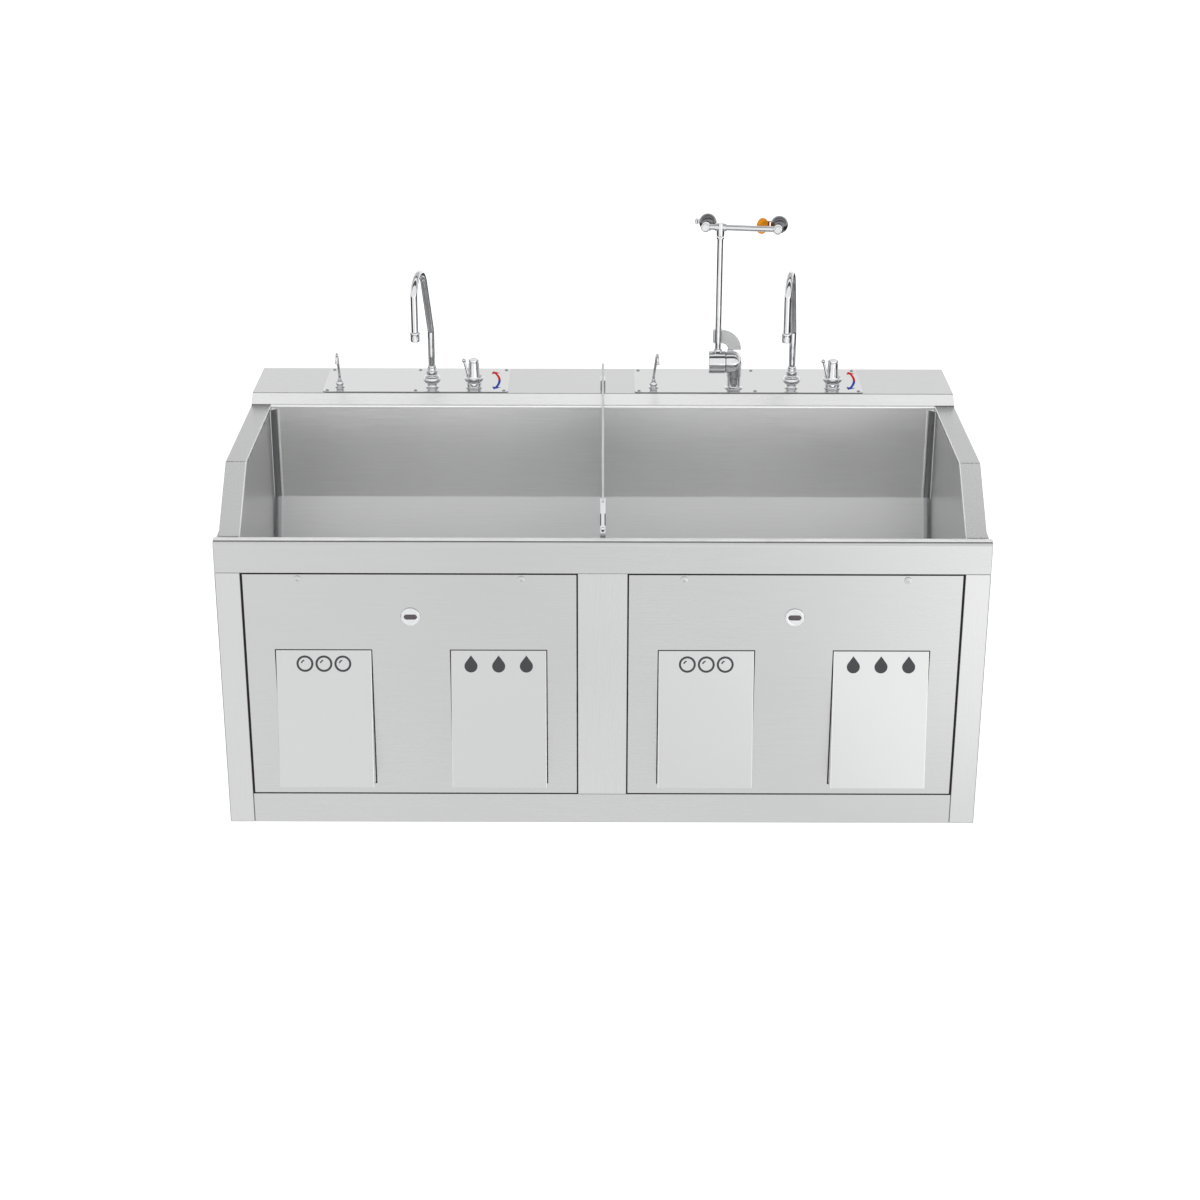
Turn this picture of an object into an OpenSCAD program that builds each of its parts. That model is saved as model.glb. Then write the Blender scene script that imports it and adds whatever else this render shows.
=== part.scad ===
// Two-station surgical scrub sink, wall hung, in folded stainless steel.
// Millimetres. X runs to the right, Y into the wall, Z up. The origin is the centre of the
// wall bolts, in the plane of the wall. Depths are measured back from the front face, and
// heights up from the underside: at_d() and at_h() turn them into Y and Z.

/* [Cabinet] */
// Overall width across the end panels
overall_w = 1575; // [1500:5:1800]
// Depth from the front face to the wall
overall_d = 790; // [760:5:860]
// Height of the rolled front rim above the underside
rim_h = 640; // [635:5:680]
// Height of the rear deck above the underside
deck_h = 762; // [750:2:800]
// How far the side shields' top stands below the deck
shield_drop = 21.5; // [20:0.5:30]
// Thickness of the folded sheet
sheet_t = 2; // [1.5:0.1:2.5]
// Radius of a fold
fold_r = 3; // [2.6:0.2:5]
// Width of an outer stile
stile_w = 51.5; // [45:0.5:60]
// Width of the centre stile
centre_stile_w = 101.6; // [80:0.2:120]
// Height of the bottom rail
rail_h = 67; // [55:1:80]
// Height of the apron's lower edge
apron_h = 568; // [560:1:580]
// Depth of the rolled rim, front to back
rim_d = 26; // [22:1:32]
// Depth of the folded returns behind the front frame
return_d = 18; // [12:1:22]

/* [Side shields] */
// How far a shield stands in from the end panel's outer face
shield_inset = 4; // [4:0.5:8]
// Depth at which a shield's level top starts to slope down
shield_slope_top_d = 193; // [170:1:230]
// Depth at which the slope meets the ledge
shield_slope_foot_d = 51; // [40:1:70]
// Height of the ledge beside the rim
ledge_h = 628; // [622:1:630]

/* [Basin] */
// Inside width of the basin
basin_w = 1480; // [1400:2:1480]
// Depth of the basin's back wall
basin_back_d = 572; // [550:2:580]
// Height of the bend in the back wall
back_bend_h = 527; // [500:1:560]
// Height of the basin floor at the drain
floor_h = 342; // [330:1:360]
// Rise of the floor from the drain to the front and back
floor_rise = 10; // [6:1:16]
// Depth of the drain's centre
drain_d = 270; // [250:5:300]
// Radius of the coves in the back corners
cove_r = 16; // [12:1:24]

/* [Deck] */
// Depth of the deck's front edge
deck_front_d = 600; // [592:1:612]
// Depth of the row of fittings
fitting_d = 640; // [636:1:660]
// Thickness of a deck plate
plate_t = 1.6; // [1.2:0.1:2]
// Left deck plate's left and right edges
left_plate_x = [-628, -212]; // [-640:1:-200]
// Right deck plate's left and right edges
right_plate_x = [71, 583]; // [60:1:600]
// Distance from the deck's front edge to a deck plate
plate_front_gap = 4; // [2:1:8]
// Distance from a deck plate to the wall
plate_back_gap = 9; // [6:1:14]
// Radius of a deck screw's head
deck_screw_r = 3.8; // [3:0.1:4.5]

/* [Wall] */
// Height of the wall bolts' centre above the underside
bolt_centre_h = 400; // [360:5:420]
// Spacing of the wall bolts across
bolt_across = 1219.2; // [1100:0.2:1300]
// Spacing of the wall bolts up and down
bolt_up = 457.2; // [400:0.2:480]
// Radius of a wall bolt hole
bolt_r = 6.5; // [5:0.25:8]
// How far the pipe stubs reach past the wall plane
stub_out = 40; // [25:1:60]

/* [Access panels] */
// Gap all round an access panel
panel_gap = 2.5; // [1.5:0.1:4]
// Gap between an access panel and the stile at the end
panel_outer_gap = 4; // [2:0.1:6]
// How far the panel screws stand below the apron's lower edge
panel_screw_drop = 13; // [11:0.5:15]
// Places of the panel screws, from the middle of the sink
panel_screw_x = [165.5, 620]; // [120:0.5:660]
// Radius of a panel screw's head
panel_screw_r = 7.5; // [5:0.25:9]
// Place of the sensor eye, from the middle of the sink
sensor_x = 392.6; // [380:0.2:400]
// How far the sensor eye stands below the apron's lower edge
sensor_drop = 95; // [83:1:108]
// Radius of the sensor's bezel
bezel_r = 20; // [18:0.5:24]

/* [Knee panels] */
// Places of the knee panels, inner and outer, from the middle of the sink
knee_x = [213.7, 573.5]; // [180:0.1:610]
// Width of a knee panel's cut-out
knee_hole_w = 200; // [180:1:210]
// Top of the cut-out
knee_top_h = 399.5; // [395:0.5:405]
// Bottom of the cut-out
knee_bottom_h = 92; // [88:1:94]
// Gap on each side of a knee panel
knee_gap = 2; // [1.5:0.1:3]
// Gap above a knee panel's top edge
knee_top_gap = 3.5; // [2:0.1:5]
// Height of the hinge pin
hinge_h = 392; // [390:0.5:392.5]
// Depth of the hinge pin behind the front face
hinge_d = 10; // [9:0.5:11]
// Radius of the hinge pin
hinge_r = 3; // [2.5:0.1:3.5]
// Length of the knee panel's face below the pin
knee_l = 292; // [280:1:293]
// Lean of the knee panel at rest, in degrees
knee_lean = 9.3; // [8.5:0.1:9.5]
// Travel of the knee panel, in degrees
knee_push = 8; // [6:0.5:8.4]
// Height of the knee valves
valve_h = 250; // [240:1:260]
// Depth of the rail that carries the knee valves
valve_rail_d = 62; // [58:1:80]

/* [Faucets] */
// Places of the two faucets
faucet_x = [-384, 424]; // [-450:1:450]
// Outer radius of the gooseneck tube
neck_r = 7.2; // [6:0.1:8]
// Height of the kink above the deck plate
neck_kink_h = 131; // [110:1:150]
// Radius of the arch's centre line
neck_arch_r = 43; // [35:1:50]
// Reach of the outlet from the pivot
neck_reach = 131; // [115:1:150]
// Height of the arch's centre above the deck plate
neck_arch_h = 239; // [220:1:260]
// Height of the outlet's lower end above the deck plate
outlet_h = 143; // [136:1:160]
// Turn of the gooseneck at rest, in degrees
neck_yaw = 11; // [0:1:20]

/* [Temperature knobs and soap] */
// Places of the two temperature knobs
knob_x = [-290, 516]; // [-330:1:540]
// Places of the two soap spouts
soap_x = [-592, 114]; // [-610:1:140]
// Reach of a soap spout
soap_reach = 96; // [85:1:110]
// Height of a soap spout's top above the deck plate
soap_top_h = 104; // [90:1:120]

/* [Eyewash] */
// Place of the eyewash column
eyewash_x = 294; // [288:1:298]
// Height of the eyewash pivot above the deck plate
eyewash_h = 60; // [55:1:70]
// Radius of the eyewash valve's body
eyewash_r = 25.5; // [24:0.5:27]
// Place of the riser
riser_x = 257; // [252:1:261]
// Length of the riser from the pivot to the cross tube
riser_l = 306; // [280:1:320]
// Half the distance between the spray heads
head_half = 79; // [76:1:90]
// Turn of the cross tube about the riser, in degrees
cross_yaw = 8; // [0:1:10]
// Radius of the riser and the cross tube
tube_r = 6.35; // [5.5:0.05:7]

/* [Divider] */
// Thickness of the clear pane
pane_t = 5; // [4:0.5:8]
// Height of the pane's front corner above the rim
pane_front_rise = 77; // [60:1:90]
// Height of the pane's back corner above the deck
pane_back_rise = 58; // [43:1:78]

/* [Fits] */
// Radial clearance of a pin or shaft in its hole
run_gap = 0.06; // [0.03:0.01:0.09]
// Gap between parts that must not touch
clear_gap = 0.3; // [0.2:0.05:0.5]

/* [Hidden] */
$fn = 64;
half_w = overall_w / 2;
shield_h = deck_h - shield_drop;
panel_screw_h = apron_h - panel_screw_drop;
sensor_h = apron_h - sensor_drop;
pane_front_h = rim_h + pane_front_rise;
pane_back_h = deck_h + pane_back_rise;
shield_x = half_w - shield_inset;
basin_x = basin_w / 2;
plate_h = deck_h + plate_t;
under_h = deck_h - sheet_t;
opening_x = half_w - stile_w;
centre_x = centre_stile_w / 2;
hem_h = apron_h - 28;
apron_tail_h = ledge_h - 22;
plate_front_d = deck_front_d + plate_front_gap;
plate_back_d = overall_d - plate_back_gap;
screw_inset = 10;
mid_screw_shift = 14;
panel_return_d = 13;
lug_t = 3;
screw_r = 2.5;
panel_head_t = 3.5;
panel_dome_r = 10;
bezel_t = 3;
bezel_shank_r = 16;
bezel_shank_l = 8;
lens_l = 26;
lens_r = 5.25;
housing_w = 60;
housing_h = 44;
flange_d = 42;
tip_r = 8;
plunger_r = 5;
rail_t = 3;
rail_half = 24;
valve_neck_r = 11;
port_l = 26;
port_r = 8;
outlet_port_d = valve_rail_d + 22;
inlet_port_d = valve_rail_d + 44;
line_r = 5;
inlet_line_h = valve_h - 50;
outlet_line_h = valve_h - 74;
shank_foot_h = under_h - 42;
nut_t = 8;
bottle_l = 200;
bottle_r = 42;
pipe_r = 7.5;
tee_r = 11;
elbow_step = 0.5;
hot_header_d = overall_d - 55;
cold_header_d = overall_d - 80;
hot_h = under_h - 160;
cold_h = under_h - 200;
inlet_x = 102;
branch_x = 56;
port_h = under_h - 50;
mixer_port_x = 40;
mixer_foot_h = under_h - 76;
strainer_r = 43;
cup_l = 40;
waste_r = 19.05;
waste_h = floor_h - 80;
trap_h = waste_h - 57;
escutcheon_t = 3;
escutcheon_rim = 12;
trap_bend_r = 45;
elbow_r = 40;
faucet_shank_r = 9.5;
neck_base_h = 46;
aerator_l = 21;
bend_step = 0.1;
bend_overlap = 1;
valve_shank_r = 12;
bonnet_h = 13;
spindle_r = 5;
knob_top_h = 66;
lever_tip = [-22, 62];
soap_shank_r = 6;
soap_base_h = 17;
soap_r = 3;
soap_arch_r = 12;
column_shank_r = 13;
column_r = 15.2;
seam_x = riser_x + 17.5;
sleeve_x = riser_x - 20;
spigot_x = sleeve_x + 6;
spigot_r = 15;
boss_l = 5;
elbow_round_r = 18;
rest_t = 10;
rest_r = 44;
rest_hole_r = 15;
fork_h = eyewash_r + 18;
fork_l = 28;
head_mid = 46.5;
head_neck_y = 12;
head_y = 50;
head_r = 19;
cap_hinge_x = -25;
cap_pin_r = 1.5;
cap_r = 17.4;
cap_open = 236;
pane_front_d = rim_d + sheet_t + 5;
pane_foot_h = 500;
clip_w = 11;
shade_steel = [0.80, 0.81, 0.82];
shade_dark = [0.62, 0.63, 0.65];
shade_chrome = [0.88, 0.89, 0.91];

// Places in the part's frame
function at_d(d) = d - overall_d;
function at_h(h) = h - bolt_centre_h;
function in_section(p) = [for (q = p) [at_d(q.x), at_h(q.y)]];

// A sheet's section follows a path of its outer face, with rounded folds
function unit(v) = v / norm(v);
function left_of(v) = [-v.y, v.x];
function turned(v, a) = [v.x * cos(a) - v.y * sin(a), v.x * sin(a) + v.y * cos(a)];
function fold(p, q, s, r, n) =
    let (
        a = unit(p - q),
        b = unit(s - q),
        half = acos(a * b) / 2,
        c = q + unit(a + b) * r / sin(half),
        u = q + a * r / tan(half) - c,
        side = a.x * b.y - a.y * b.x > 0 ? -1 : 1
    )
    [for (k = [0 : n]) c + turned(u, side * (180 - 2 * half) * k / n)];
function folded(p, r, n = 4) = [
    p[0],
    for (i = [1 : len(p) - 2])
        each (r[i - 1] > 0 ? fold(p[i - 1], p[i], p[i + 1], r[i - 1], n) : [p[i]]),
    p[len(p) - 1]
];
function shifted(p, t) = [
    for (i = [0 : len(p) - 1])
        let (
            a = i > 0 ? unit(p[i] - p[i - 1]) : unit(p[1] - p[0]),
            b = i < len(p) - 1 ? unit(p[i + 1] - p[i]) : a,
            m = unit(left_of(a) + left_of(b))
        )
        p[i] + m * t / (m * left_of(a))
];
function backwards(p) = [for (i = [len(p) - 1 : -1 : 0]) p[i]];
function sheet(p, t) = concat(p, backwards(shifted(p, t)));

// Sections drawn in depth and height, and run across the sink
module across(x0, x1) {
    translate([x0, 0, 0])
        rotate([90, 0, 90])
            linear_extrude(x1 - x0)
                children();
}

// Shapes drawn in X and height, and run backwards from depth d
module upright(d, t) {
    translate([0, at_d(d) + t, 0])
        rotate([90, 0, 0])
            linear_extrude(t)
                children();
}

module tube_y(x, d0, d1, h, r) {
    translate([x, at_d(d0), at_h(h)])
        rotate([-90, 0, 0])
            cylinder(h = d1 - d0, r = r);
}

module tube_z(x, d, h0, h1, r) {
    translate([x, at_d(d), at_h(h0)])
        cylinder(h = h1 - h0, r = r);
}

module tube_x(x0, x1, d, h, r) {
    translate([x0, at_d(d), at_h(h)])
        rotate([0, 90, 0])
            cylinder(h = x1 - x0, r = r);
}

module joint_ball(x, d, h, r) {
    translate([x, at_d(d), at_h(h)])
        sphere(r = r);
}

// Rectangle in X and height
module face(x0, x1, h0, h1) {
    translate([x0, at_h(h0)])
        square([x1 - x0, h1 - h0]);
}

// Block between two corners given as X, depth and height
module block(a, b) {
    translate([a.x, at_d(a.y), at_h(a.z)])
        cube([b.x - a.x, b.y - a.y, b.z - a.z]);
}

module mirrored(side) {
    if (side < 0)
        mirror([1, 0, 0])
            children();
    else
        children();
}

// Sections of the cabinet's sheets
lip_slope = shield_drop / (deck_front_d - basin_back_d);
seam_run = 12;
lip_seam = [basin_back_d + seam_run, shield_h + seam_run * lip_slope];
deck_path = folded([[overall_d, deck_h], [deck_front_d, deck_h], lip_seam], [fold_r]);
front_bend_h = back_bend_h - 80;
floor_edge_h = floor_h + floor_rise;
front_foot_d = rim_d + sheet_t + (front_bend_h - floor_edge_h) * 0.364;
back_foot_d = basin_back_d - (back_bend_h - floor_edge_h) * 0.4245;
floor_flat = 60;
cove_drop = 4;
basin_lower = [
    [rim_d + sheet_t, front_bend_h],
    [front_foot_d, floor_edge_h],
    [drain_d - floor_flat, floor_h],
    [drain_d + floor_flat, floor_h],
    [back_foot_d, floor_edge_h],
    [basin_back_d, back_bend_h]
];
basin_folds = [20, 25, 0, 0, 25, 6];
basin_path = folded(
    concat(
        [[rim_d + sheet_t, ledge_h - 6]],
        basin_lower,
        [[basin_back_d, shield_h], lip_seam]
    ),
    concat(basin_folds, [6])
);
basin_end_path = folded(
    concat(
        [[rim_d + sheet_t, ledge_h - sheet_t]],
        basin_lower,
        [[basin_back_d, shield_h - sheet_t]]
    ),
    basin_folds
);
shield_path = [
    lip_seam,
    [basin_back_d, shield_h],
    [shield_slope_top_d, shield_h],
    [shield_slope_foot_d, ledge_h],
    [rim_d, ledge_h]
];
apron_path = folded(
    [
        [rim_d, apron_tail_h],
        [rim_d, rim_h],
        [0, rim_h],
        [0, apron_h],
        [return_d, apron_h],
        [return_d, hem_h]
    ],
    [rim_d / 2 - 0.5, rim_d / 2 - 0.5, 0, 0]
);

module back_panel() {
    color(shade_dark)
        difference() {
            upright(overall_d - sheet_t, sheet_t) {
                face(-half_w + sheet_t, half_w - sheet_t, 0, ledge_h - sheet_t);
                face(-shield_x + sheet_t, shield_x - sheet_t, ledge_h - sheet_t - 1, under_h);
            }
            for (x = [-bolt_across / 2, bolt_across / 2], z = [-bolt_up / 2, bolt_up / 2])
                tube_y(x, overall_d - 10, overall_d + 10, bolt_centre_h + z, bolt_r);
            tube_y(0, overall_d - 10, overall_d + 10, waste_h, waste_r + 8);
            tube_y(-inlet_x, overall_d - 10, overall_d + 10, hot_h, pipe_r + 6);
            tube_y(inlet_x, overall_d - 10, overall_d + 10, cold_h, pipe_r + 6);
        }
}

module end_panel(side) {
    color(shade_steel)
        mirrored(side) {
            across(half_w - sheet_t, half_w)
                polygon(in_section([
                    [sheet_t, 0], [overall_d, 0], [overall_d, ledge_h], [rim_d, ledge_h],
                    [rim_d, apron_h], [sheet_t, apron_h]
                ]));
            block([shield_x, rim_d, ledge_h - sheet_t], [half_w, overall_d, ledge_h]);
        }
}

module left_end_panel() {
    end_panel(-1);
}

module right_end_panel() {
    end_panel(1);
}

module basin_end(side) {
    mirrored(side) {
        across(basin_x, basin_x + sheet_t)
            polygon(in_section(concat(
                shifted(basin_end_path, -sheet_t),
                [for (i = [2, 3]) shifted(shield_path, sheet_t)[i]]
            )));
        // cove in the back corner
        translate([basin_x, at_d(basin_back_d), at_h(back_bend_h)])
            linear_extrude(shield_h - cove_drop - back_bend_h)
                difference() {
                    translate([-cove_r, -cove_r])
                        square(cove_r);
                    translate([-cove_r, -cove_r])
                        circle(r = cove_r);
                }
    }
}

module basin() {
    color(shade_steel)
        difference() {
            union() {
                across(-basin_x, basin_x)
                    polygon(in_section(sheet(basin_path, -sheet_t)));
                basin_end(-1);
                basin_end(1);
            }
            tube_z(0, drain_d, floor_h - 10, floor_h + 10, strainer_r + 0.5);
        }
}

module deck() {
    color(shade_steel)
        difference() {
            across(-shield_x, shield_x)
                polygon(in_section(sheet(deck_path, sheet_t)));
            shank_holes();
        }
}

// Holes for the fittings' shanks through the deck and its plates
module shank_holes() {
    for (x = faucet_x)
        shank_hole(x, faucet_shank_r);
    for (x = knob_x)
        shank_hole(x, valve_shank_r);
    for (x = soap_x)
        shank_hole(x, soap_shank_r);
    shank_hole(eyewash_x, column_shank_r);
}

module shank_hole(x, r) {
    tube_z(x, fitting_d, under_h - 5, plate_h + 5, r + 0.5);
}

module side_shield(side) {
    color(shade_steel)
        mirrored(side) {
            across(basin_x, shield_x)
                polygon(in_section(sheet(shield_path, sheet_t)));
            across(shield_x - sheet_t, shield_x)
                polygon(in_section(concat(
                    [
                        [rim_d, ledge_h - 20], [overall_d - sheet_t, ledge_h - 20],
                        [overall_d - sheet_t, ledge_h - sheet_t],
                        [overall_d, ledge_h - sheet_t], [overall_d, under_h]
                    ],
                    [for (q = shifted(deck_path, sheet_t)) if (q.x < overall_d) q],
                    shield_path
                )));
        }
}

module left_side_shield() {
    side_shield(-1);
}

module right_side_shield() {
    side_shield(1);
}

module front_apron() {
    color(shade_steel)
        difference() {
            union() {
                across(sheet_t - half_w, half_w - sheet_t)
                    polygon(in_section(sheet(apron_path, sheet_t)));
                for (side = [-1, 1])
                    mirrored(side)
                        across(half_w - sheet_t, half_w)
                            polygon(in_section(concat(
                                [for (q = apron_path) if (q.y >= apron_h) q],
                                [[rim_d, apron_h]]
                            )));
            }
            for (side = [-1, 1], x = panel_screw_x)
                tube_y(side * x, 0, return_d + 10, panel_screw_h, screw_r + 0.3);
        }
}

// Upright of the front frame, with its face between x0 and x1
module stile(x0, x1, h0, h1, outer_return) {
    color(shade_steel) {
        upright(0, sheet_t)
            face(x0, x1, h0, h1);
        block([x0, sheet_t, h0], [x0 + sheet_t, return_d - sheet_t, h1]);
        if (outer_return)
            block([x1 - sheet_t, sheet_t, h0], [x1, return_d - sheet_t, h1]);
    }
}

module left_stile() {
    mirror([1, 0, 0])
        stile(opening_x, half_w, 0, apron_h, false);
}

module right_stile() {
    stile(opening_x, half_w, 0, apron_h, false);
}

module centre_stile() {
    stile(-centre_x, centre_x, rail_h, apron_h, true);
}

module bottom_rail() {
    color(shade_steel)
        across(-opening_x, opening_x)
            polygon(in_section(sheet(
                [[40, 0], [0, 0], [0, rail_h], [return_d, rail_h]],
                -sheet_t
            )));
}

module deck_plate(span) {
    color(shade_steel)
        translate([0, 0, at_h(deck_h)])
            linear_extrude(plate_t)
                difference() {
                    plate_outline(span);
                    plate_holes();
                }
}

module plate_outline(span) {
    translate([span[0], at_d(plate_front_d)])
        square([span[1] - span[0], plate_back_d - plate_front_d]);
}

module plate_holes() {
    for (x = faucet_x)
        translate([x, at_d(fitting_d)])
            circle(r = faucet_shank_r + 0.5);
    for (x = knob_x)
        translate([x, at_d(fitting_d)])
            circle(r = valve_shank_r + 0.5);
    for (x = soap_x)
        translate([x, at_d(fitting_d)])
            circle(r = soap_shank_r + 0.5);
    translate([eyewash_x, at_d(fitting_d)])
        circle(r = column_shank_r + 0.5);
}

module left_deck_plate() {
    deck_plate(left_plate_x);
}

module right_deck_plate() {
    deck_plate(right_plate_x);
}

function plate_screw_x(span, shift) =
    [span[0] + screw_inset, (span[0] + span[1]) / 2 + shift, span[1] - screw_inset];

module deck_screws() {
    xs = concat(
        plate_screw_x(left_plate_x, 0),
        plate_screw_x(right_plate_x, mid_screw_shift)
    );
    color(shade_chrome)
        for (x = xs, d = [plate_front_d + screw_inset, plate_back_d - screw_inset])
            dome_screw(x, d);
}

module dome_screw(x, d) {
    translate([x, at_d(d), at_h(plate_h)]) {
        intersection() {
            translate([0, 0, -deck_screw_r])
                sphere(r = deck_screw_r * 1.5);
            cylinder(h = deck_screw_r, r = deck_screw_r);
        }
    }
}

// Parts for the access panels

// Slot with round ends, drawn about its centre
module slot(l, r) {
    square([l - 2 * r, 2 * r], center = true);
    for (x = [-l / 2 + r, l / 2 - r])
        translate([x, 0])
            circle(r = r);
}

module access_panel(side) {
    ends = side * [centre_x + panel_gap, opening_x - panel_outer_gap];
    lo = min(ends);
    hi = max(ends);
    bottom = rail_h + panel_gap;
    top = apron_h - panel_gap;
    bore_reach = knee_hole_w / 2 + 3 * lug_t;
    color(shade_steel)
        difference() {
            union() {
                block([lo, 0, bottom], [hi, panel_return_d, top]);
                for (x = knee_x)
                    hinge_lugs(side * x);
            }
            difference() {
                block(
                    [lo + sheet_t, sheet_t, bottom + sheet_t],
                    [hi - sheet_t, panel_return_d + 1, top - sheet_t]
                );
                for (x = knee_x)
                    hinge_lugs(side * x);
            }
            for (x = knee_x) {
                block(
                    [side * x - knee_hole_w / 2, -1, knee_bottom_h],
                    [side * x + knee_hole_w / 2, panel_return_d, knee_top_h]
                );
                tube_x(side * x - bore_reach, side * x + bore_reach, hinge_d, hinge_h, hinge_r + run_gap);
            }
            for (x = panel_screw_x)
                tube_y(side * x, -1, panel_return_d + 1, panel_screw_h, screw_r + clear_gap);
            tube_y(side * sensor_x, -1, panel_return_d + 1, sensor_h, bezel_shank_r + clear_gap);
        }
}

// Pair of lugs behind an access panel that hold one hinge pin
module hinge_lugs(x) {
    for (side = [-1, 1])
        translate([x + side * (knee_hole_w / 2 + lug_t), 0, 0])
            across(-lug_t / 2, lug_t / 2)
                polygon(in_section([
                    [sheet_t - 0.5, hinge_h - 8], [hinge_d + 7, hinge_h - 8],
                    [hinge_d + 7, hinge_h + 6], [sheet_t - 0.5, hinge_h + 16]
                ]));
}

module left_access_panel() {
    access_panel(-1);
}

module right_access_panel() {
    access_panel(1);
}

module hinge_pins() {
    reach = knee_hole_w / 2 + 1.5 * lug_t + 2;
    color(shade_dark)
        for (side = [-1, 1], x = knee_x)
            tube_x(side * x - reach, side * x + reach, hinge_d, hinge_h, hinge_r);
}

module panel_screws() {
    color(shade_chrome)
        for (side = [-1, 1], x = panel_screw_x) {
            tube_y(side * x, 0, return_d + 6, panel_screw_h, screw_r);
            translate([side * x, at_d(0), at_h(panel_screw_h)])
                rotate([90, 0, 0])
                    intersection() {
                        cylinder(h = panel_head_t, r = panel_screw_r);
                        translate([0, 0, panel_head_t - panel_dome_r])
                            sphere(r = panel_dome_r);
                    }
        }
}

module sensor_bezels() {
    color(shade_chrome)
        for (side = [-1, 1])
            difference() {
                translate([side * sensor_x, at_d(0), at_h(sensor_h)])
                    rotate([90, 0, 0]) {
                        cylinder(h = bezel_t, r1 = bezel_r, r2 = bezel_r - 1.5);
                        translate([0, 0, -bezel_shank_l])
                            cylinder(h = bezel_shank_l, r = bezel_shank_r);
                    }
                lens_prism(side, -bezel_t - 1, bezel_shank_l + 1);
            }
}

module lens_prism(side, d0, d1) {
    upright(d0, d1 - d0)
        translate([side * sensor_x, at_h(sensor_h)])
            slot(lens_l, lens_r);
}

module sensor_lenses() {
    color([0.22, 0.14, 0.20])
        for (side = [-1, 1])
            lens_prism(side, -bezel_t + 0.6, bezel_shank_l);
}

module sensor_housings() {
    color([0.16, 0.16, 0.17])
        for (side = [-1, 1])
            block(
                [side * sensor_x - housing_w / 2, bezel_shank_l, sensor_h - housing_h / 2],
                [side * sensor_x + housing_w / 2, rim_d - 2, sensor_h + housing_h / 2]
            );
}

// Knee panel, drawn about its hinge pin: forward is -Y, and it hangs down
module knee_panel(x) {
    w = knee_hole_w - 2 * knee_gap;
    front = -hinge_d;
    top = knee_top_h - hinge_h - knee_top_gap;
    flange = [
        [front, top], [hinge_r + 5, top], [hinge_r + 5, -14], [flange_d, -knee_l + 16],
        [flange_d, -knee_l], [front, -knee_l]
    ];
    color(shade_steel)
        translate([x, at_d(hinge_d), at_h(hinge_h)])
            rotate([-knee_lean, 0, 0])
                difference() {
                    union() {
                        translate([-w / 2, front, -knee_l])
                            cube([w, sheet_t, knee_l + top]);
                        translate([-w / 2, front, -knee_l])
                            cube([w, flange_d - front, sheet_t]);
                        for (e = [-w / 2, w / 2 - sheet_t])
                            across(e, e + sheet_t)
                                polygon(flange);
                    }
                    rotate([0, 90, 0])
                        cylinder(h = w + 2, r = hinge_r + run_gap, center = true);
                }
}

module left_soap_panel() {
    knee_panel(-knee_x[1]);
}

module left_water_panel() {
    knee_panel(-knee_x[0]);
}

module right_soap_panel() {
    knee_panel(knee_x[0]);
}

module right_water_panel() {
    knee_panel(knee_x[1]);
}

// Depth of the plunger's round tip when the knee panel leans by a degrees: the tip stays
// just behind the panel's face
function tip_d(a) =
    hinge_d
    + (tip_r + clear_gap - (hinge_d - sheet_t) - (hinge_h - valve_h) * sin(a)) / cos(a);
plunger_l = 100;
plunger_travel = tip_d(knee_lean - knee_push) - tip_d(knee_lean);

module plunger(x) {
    tip = tip_d(knee_lean);
    color(shade_chrome) {
        joint_ball(x, tip, valve_h, tip_r);
        tube_y(x, tip, tip + plunger_l, valve_h, plunger_r);
    }
}

module left_soap_plunger() {
    plunger(-knee_x[1]);
}

module left_water_plunger() {
    plunger(-knee_x[0]);
}

module right_soap_plunger() {
    plunger(knee_x[0]);
}

module right_water_plunger() {
    plunger(knee_x[1]);
}

module valve_rail() {
    color(shade_dark)
        difference() {
            block(
                [-half_w + sheet_t, valve_rail_d, valve_h - rail_half],
                [half_w - sheet_t, valve_rail_d + rail_t, valve_h + rail_half]
            );
            for (side = [-1, 1], x = knee_x)
                tube_y(
                    side * x, valve_rail_d - 1, valve_rail_d + rail_t + 1, valve_h,
                    valve_neck_r + clear_gap
                );
        }
}

// Valve behind the rail, with its neck through it and the plunger's bore along it
module knee_valve(x, body_r, ports) {
    back = valve_rail_d + rail_t;
    end = tip_d(knee_lean) + plunger_l + plunger_travel + 4;
    difference() {
        union() {
            tube_y(x, valve_rail_d - 6, back, valve_h, valve_neck_r);
            tube_y(x, back, end + 6, valve_h, body_r);
            for (d = ports)
                tube_z(x, d, valve_h - port_l, valve_h - plunger_r - 3, port_r);
        }
        tube_y(x, valve_rail_d - 7, end, valve_h, plunger_r + run_gap);
    }
}

module water_valves() {
    color([0.72, 0.58, 0.30])
        for (x = [-knee_x[0], knee_x[1]])
            knee_valve(x, 17, [outlet_port_d, inlet_port_d]);
}

module soap_pumps() {
    color([0.20, 0.20, 0.22])
        for (x = [-knee_x[1], knee_x[0]])
            knee_valve(x, 21, [outlet_port_d]);
}

// Straight runs of a small line with a ball at each corner
module line(p, r) {
    $fn = 32;
    for (i = [1 : len(p) - 1])
        run_between(p[i - 1], p[i], r);
    for (i = [1 : len(p) - 2])
        elbow_ball(p[i], unit(p[i - 1] - p[i]), unit(p[i + 1] - p[i]), r + elbow_step);
}

// Ball where runs leave in directions a and b, with its poles and its seam clear of them
module elbow_ball(p, a, b, r) {
    x = -unit(a + b);
    z = cross(a, b);
    y = cross(z, x);
    multmatrix([
        [x.x, y.x, z.x, p.x],
        [x.y, y.y, z.y, at_d(p.y)],
        [x.z, y.z, z.z, at_h(p.z)],
        [0, 0, 0, 1]
    ])
        sphere(r = r);
}

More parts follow.
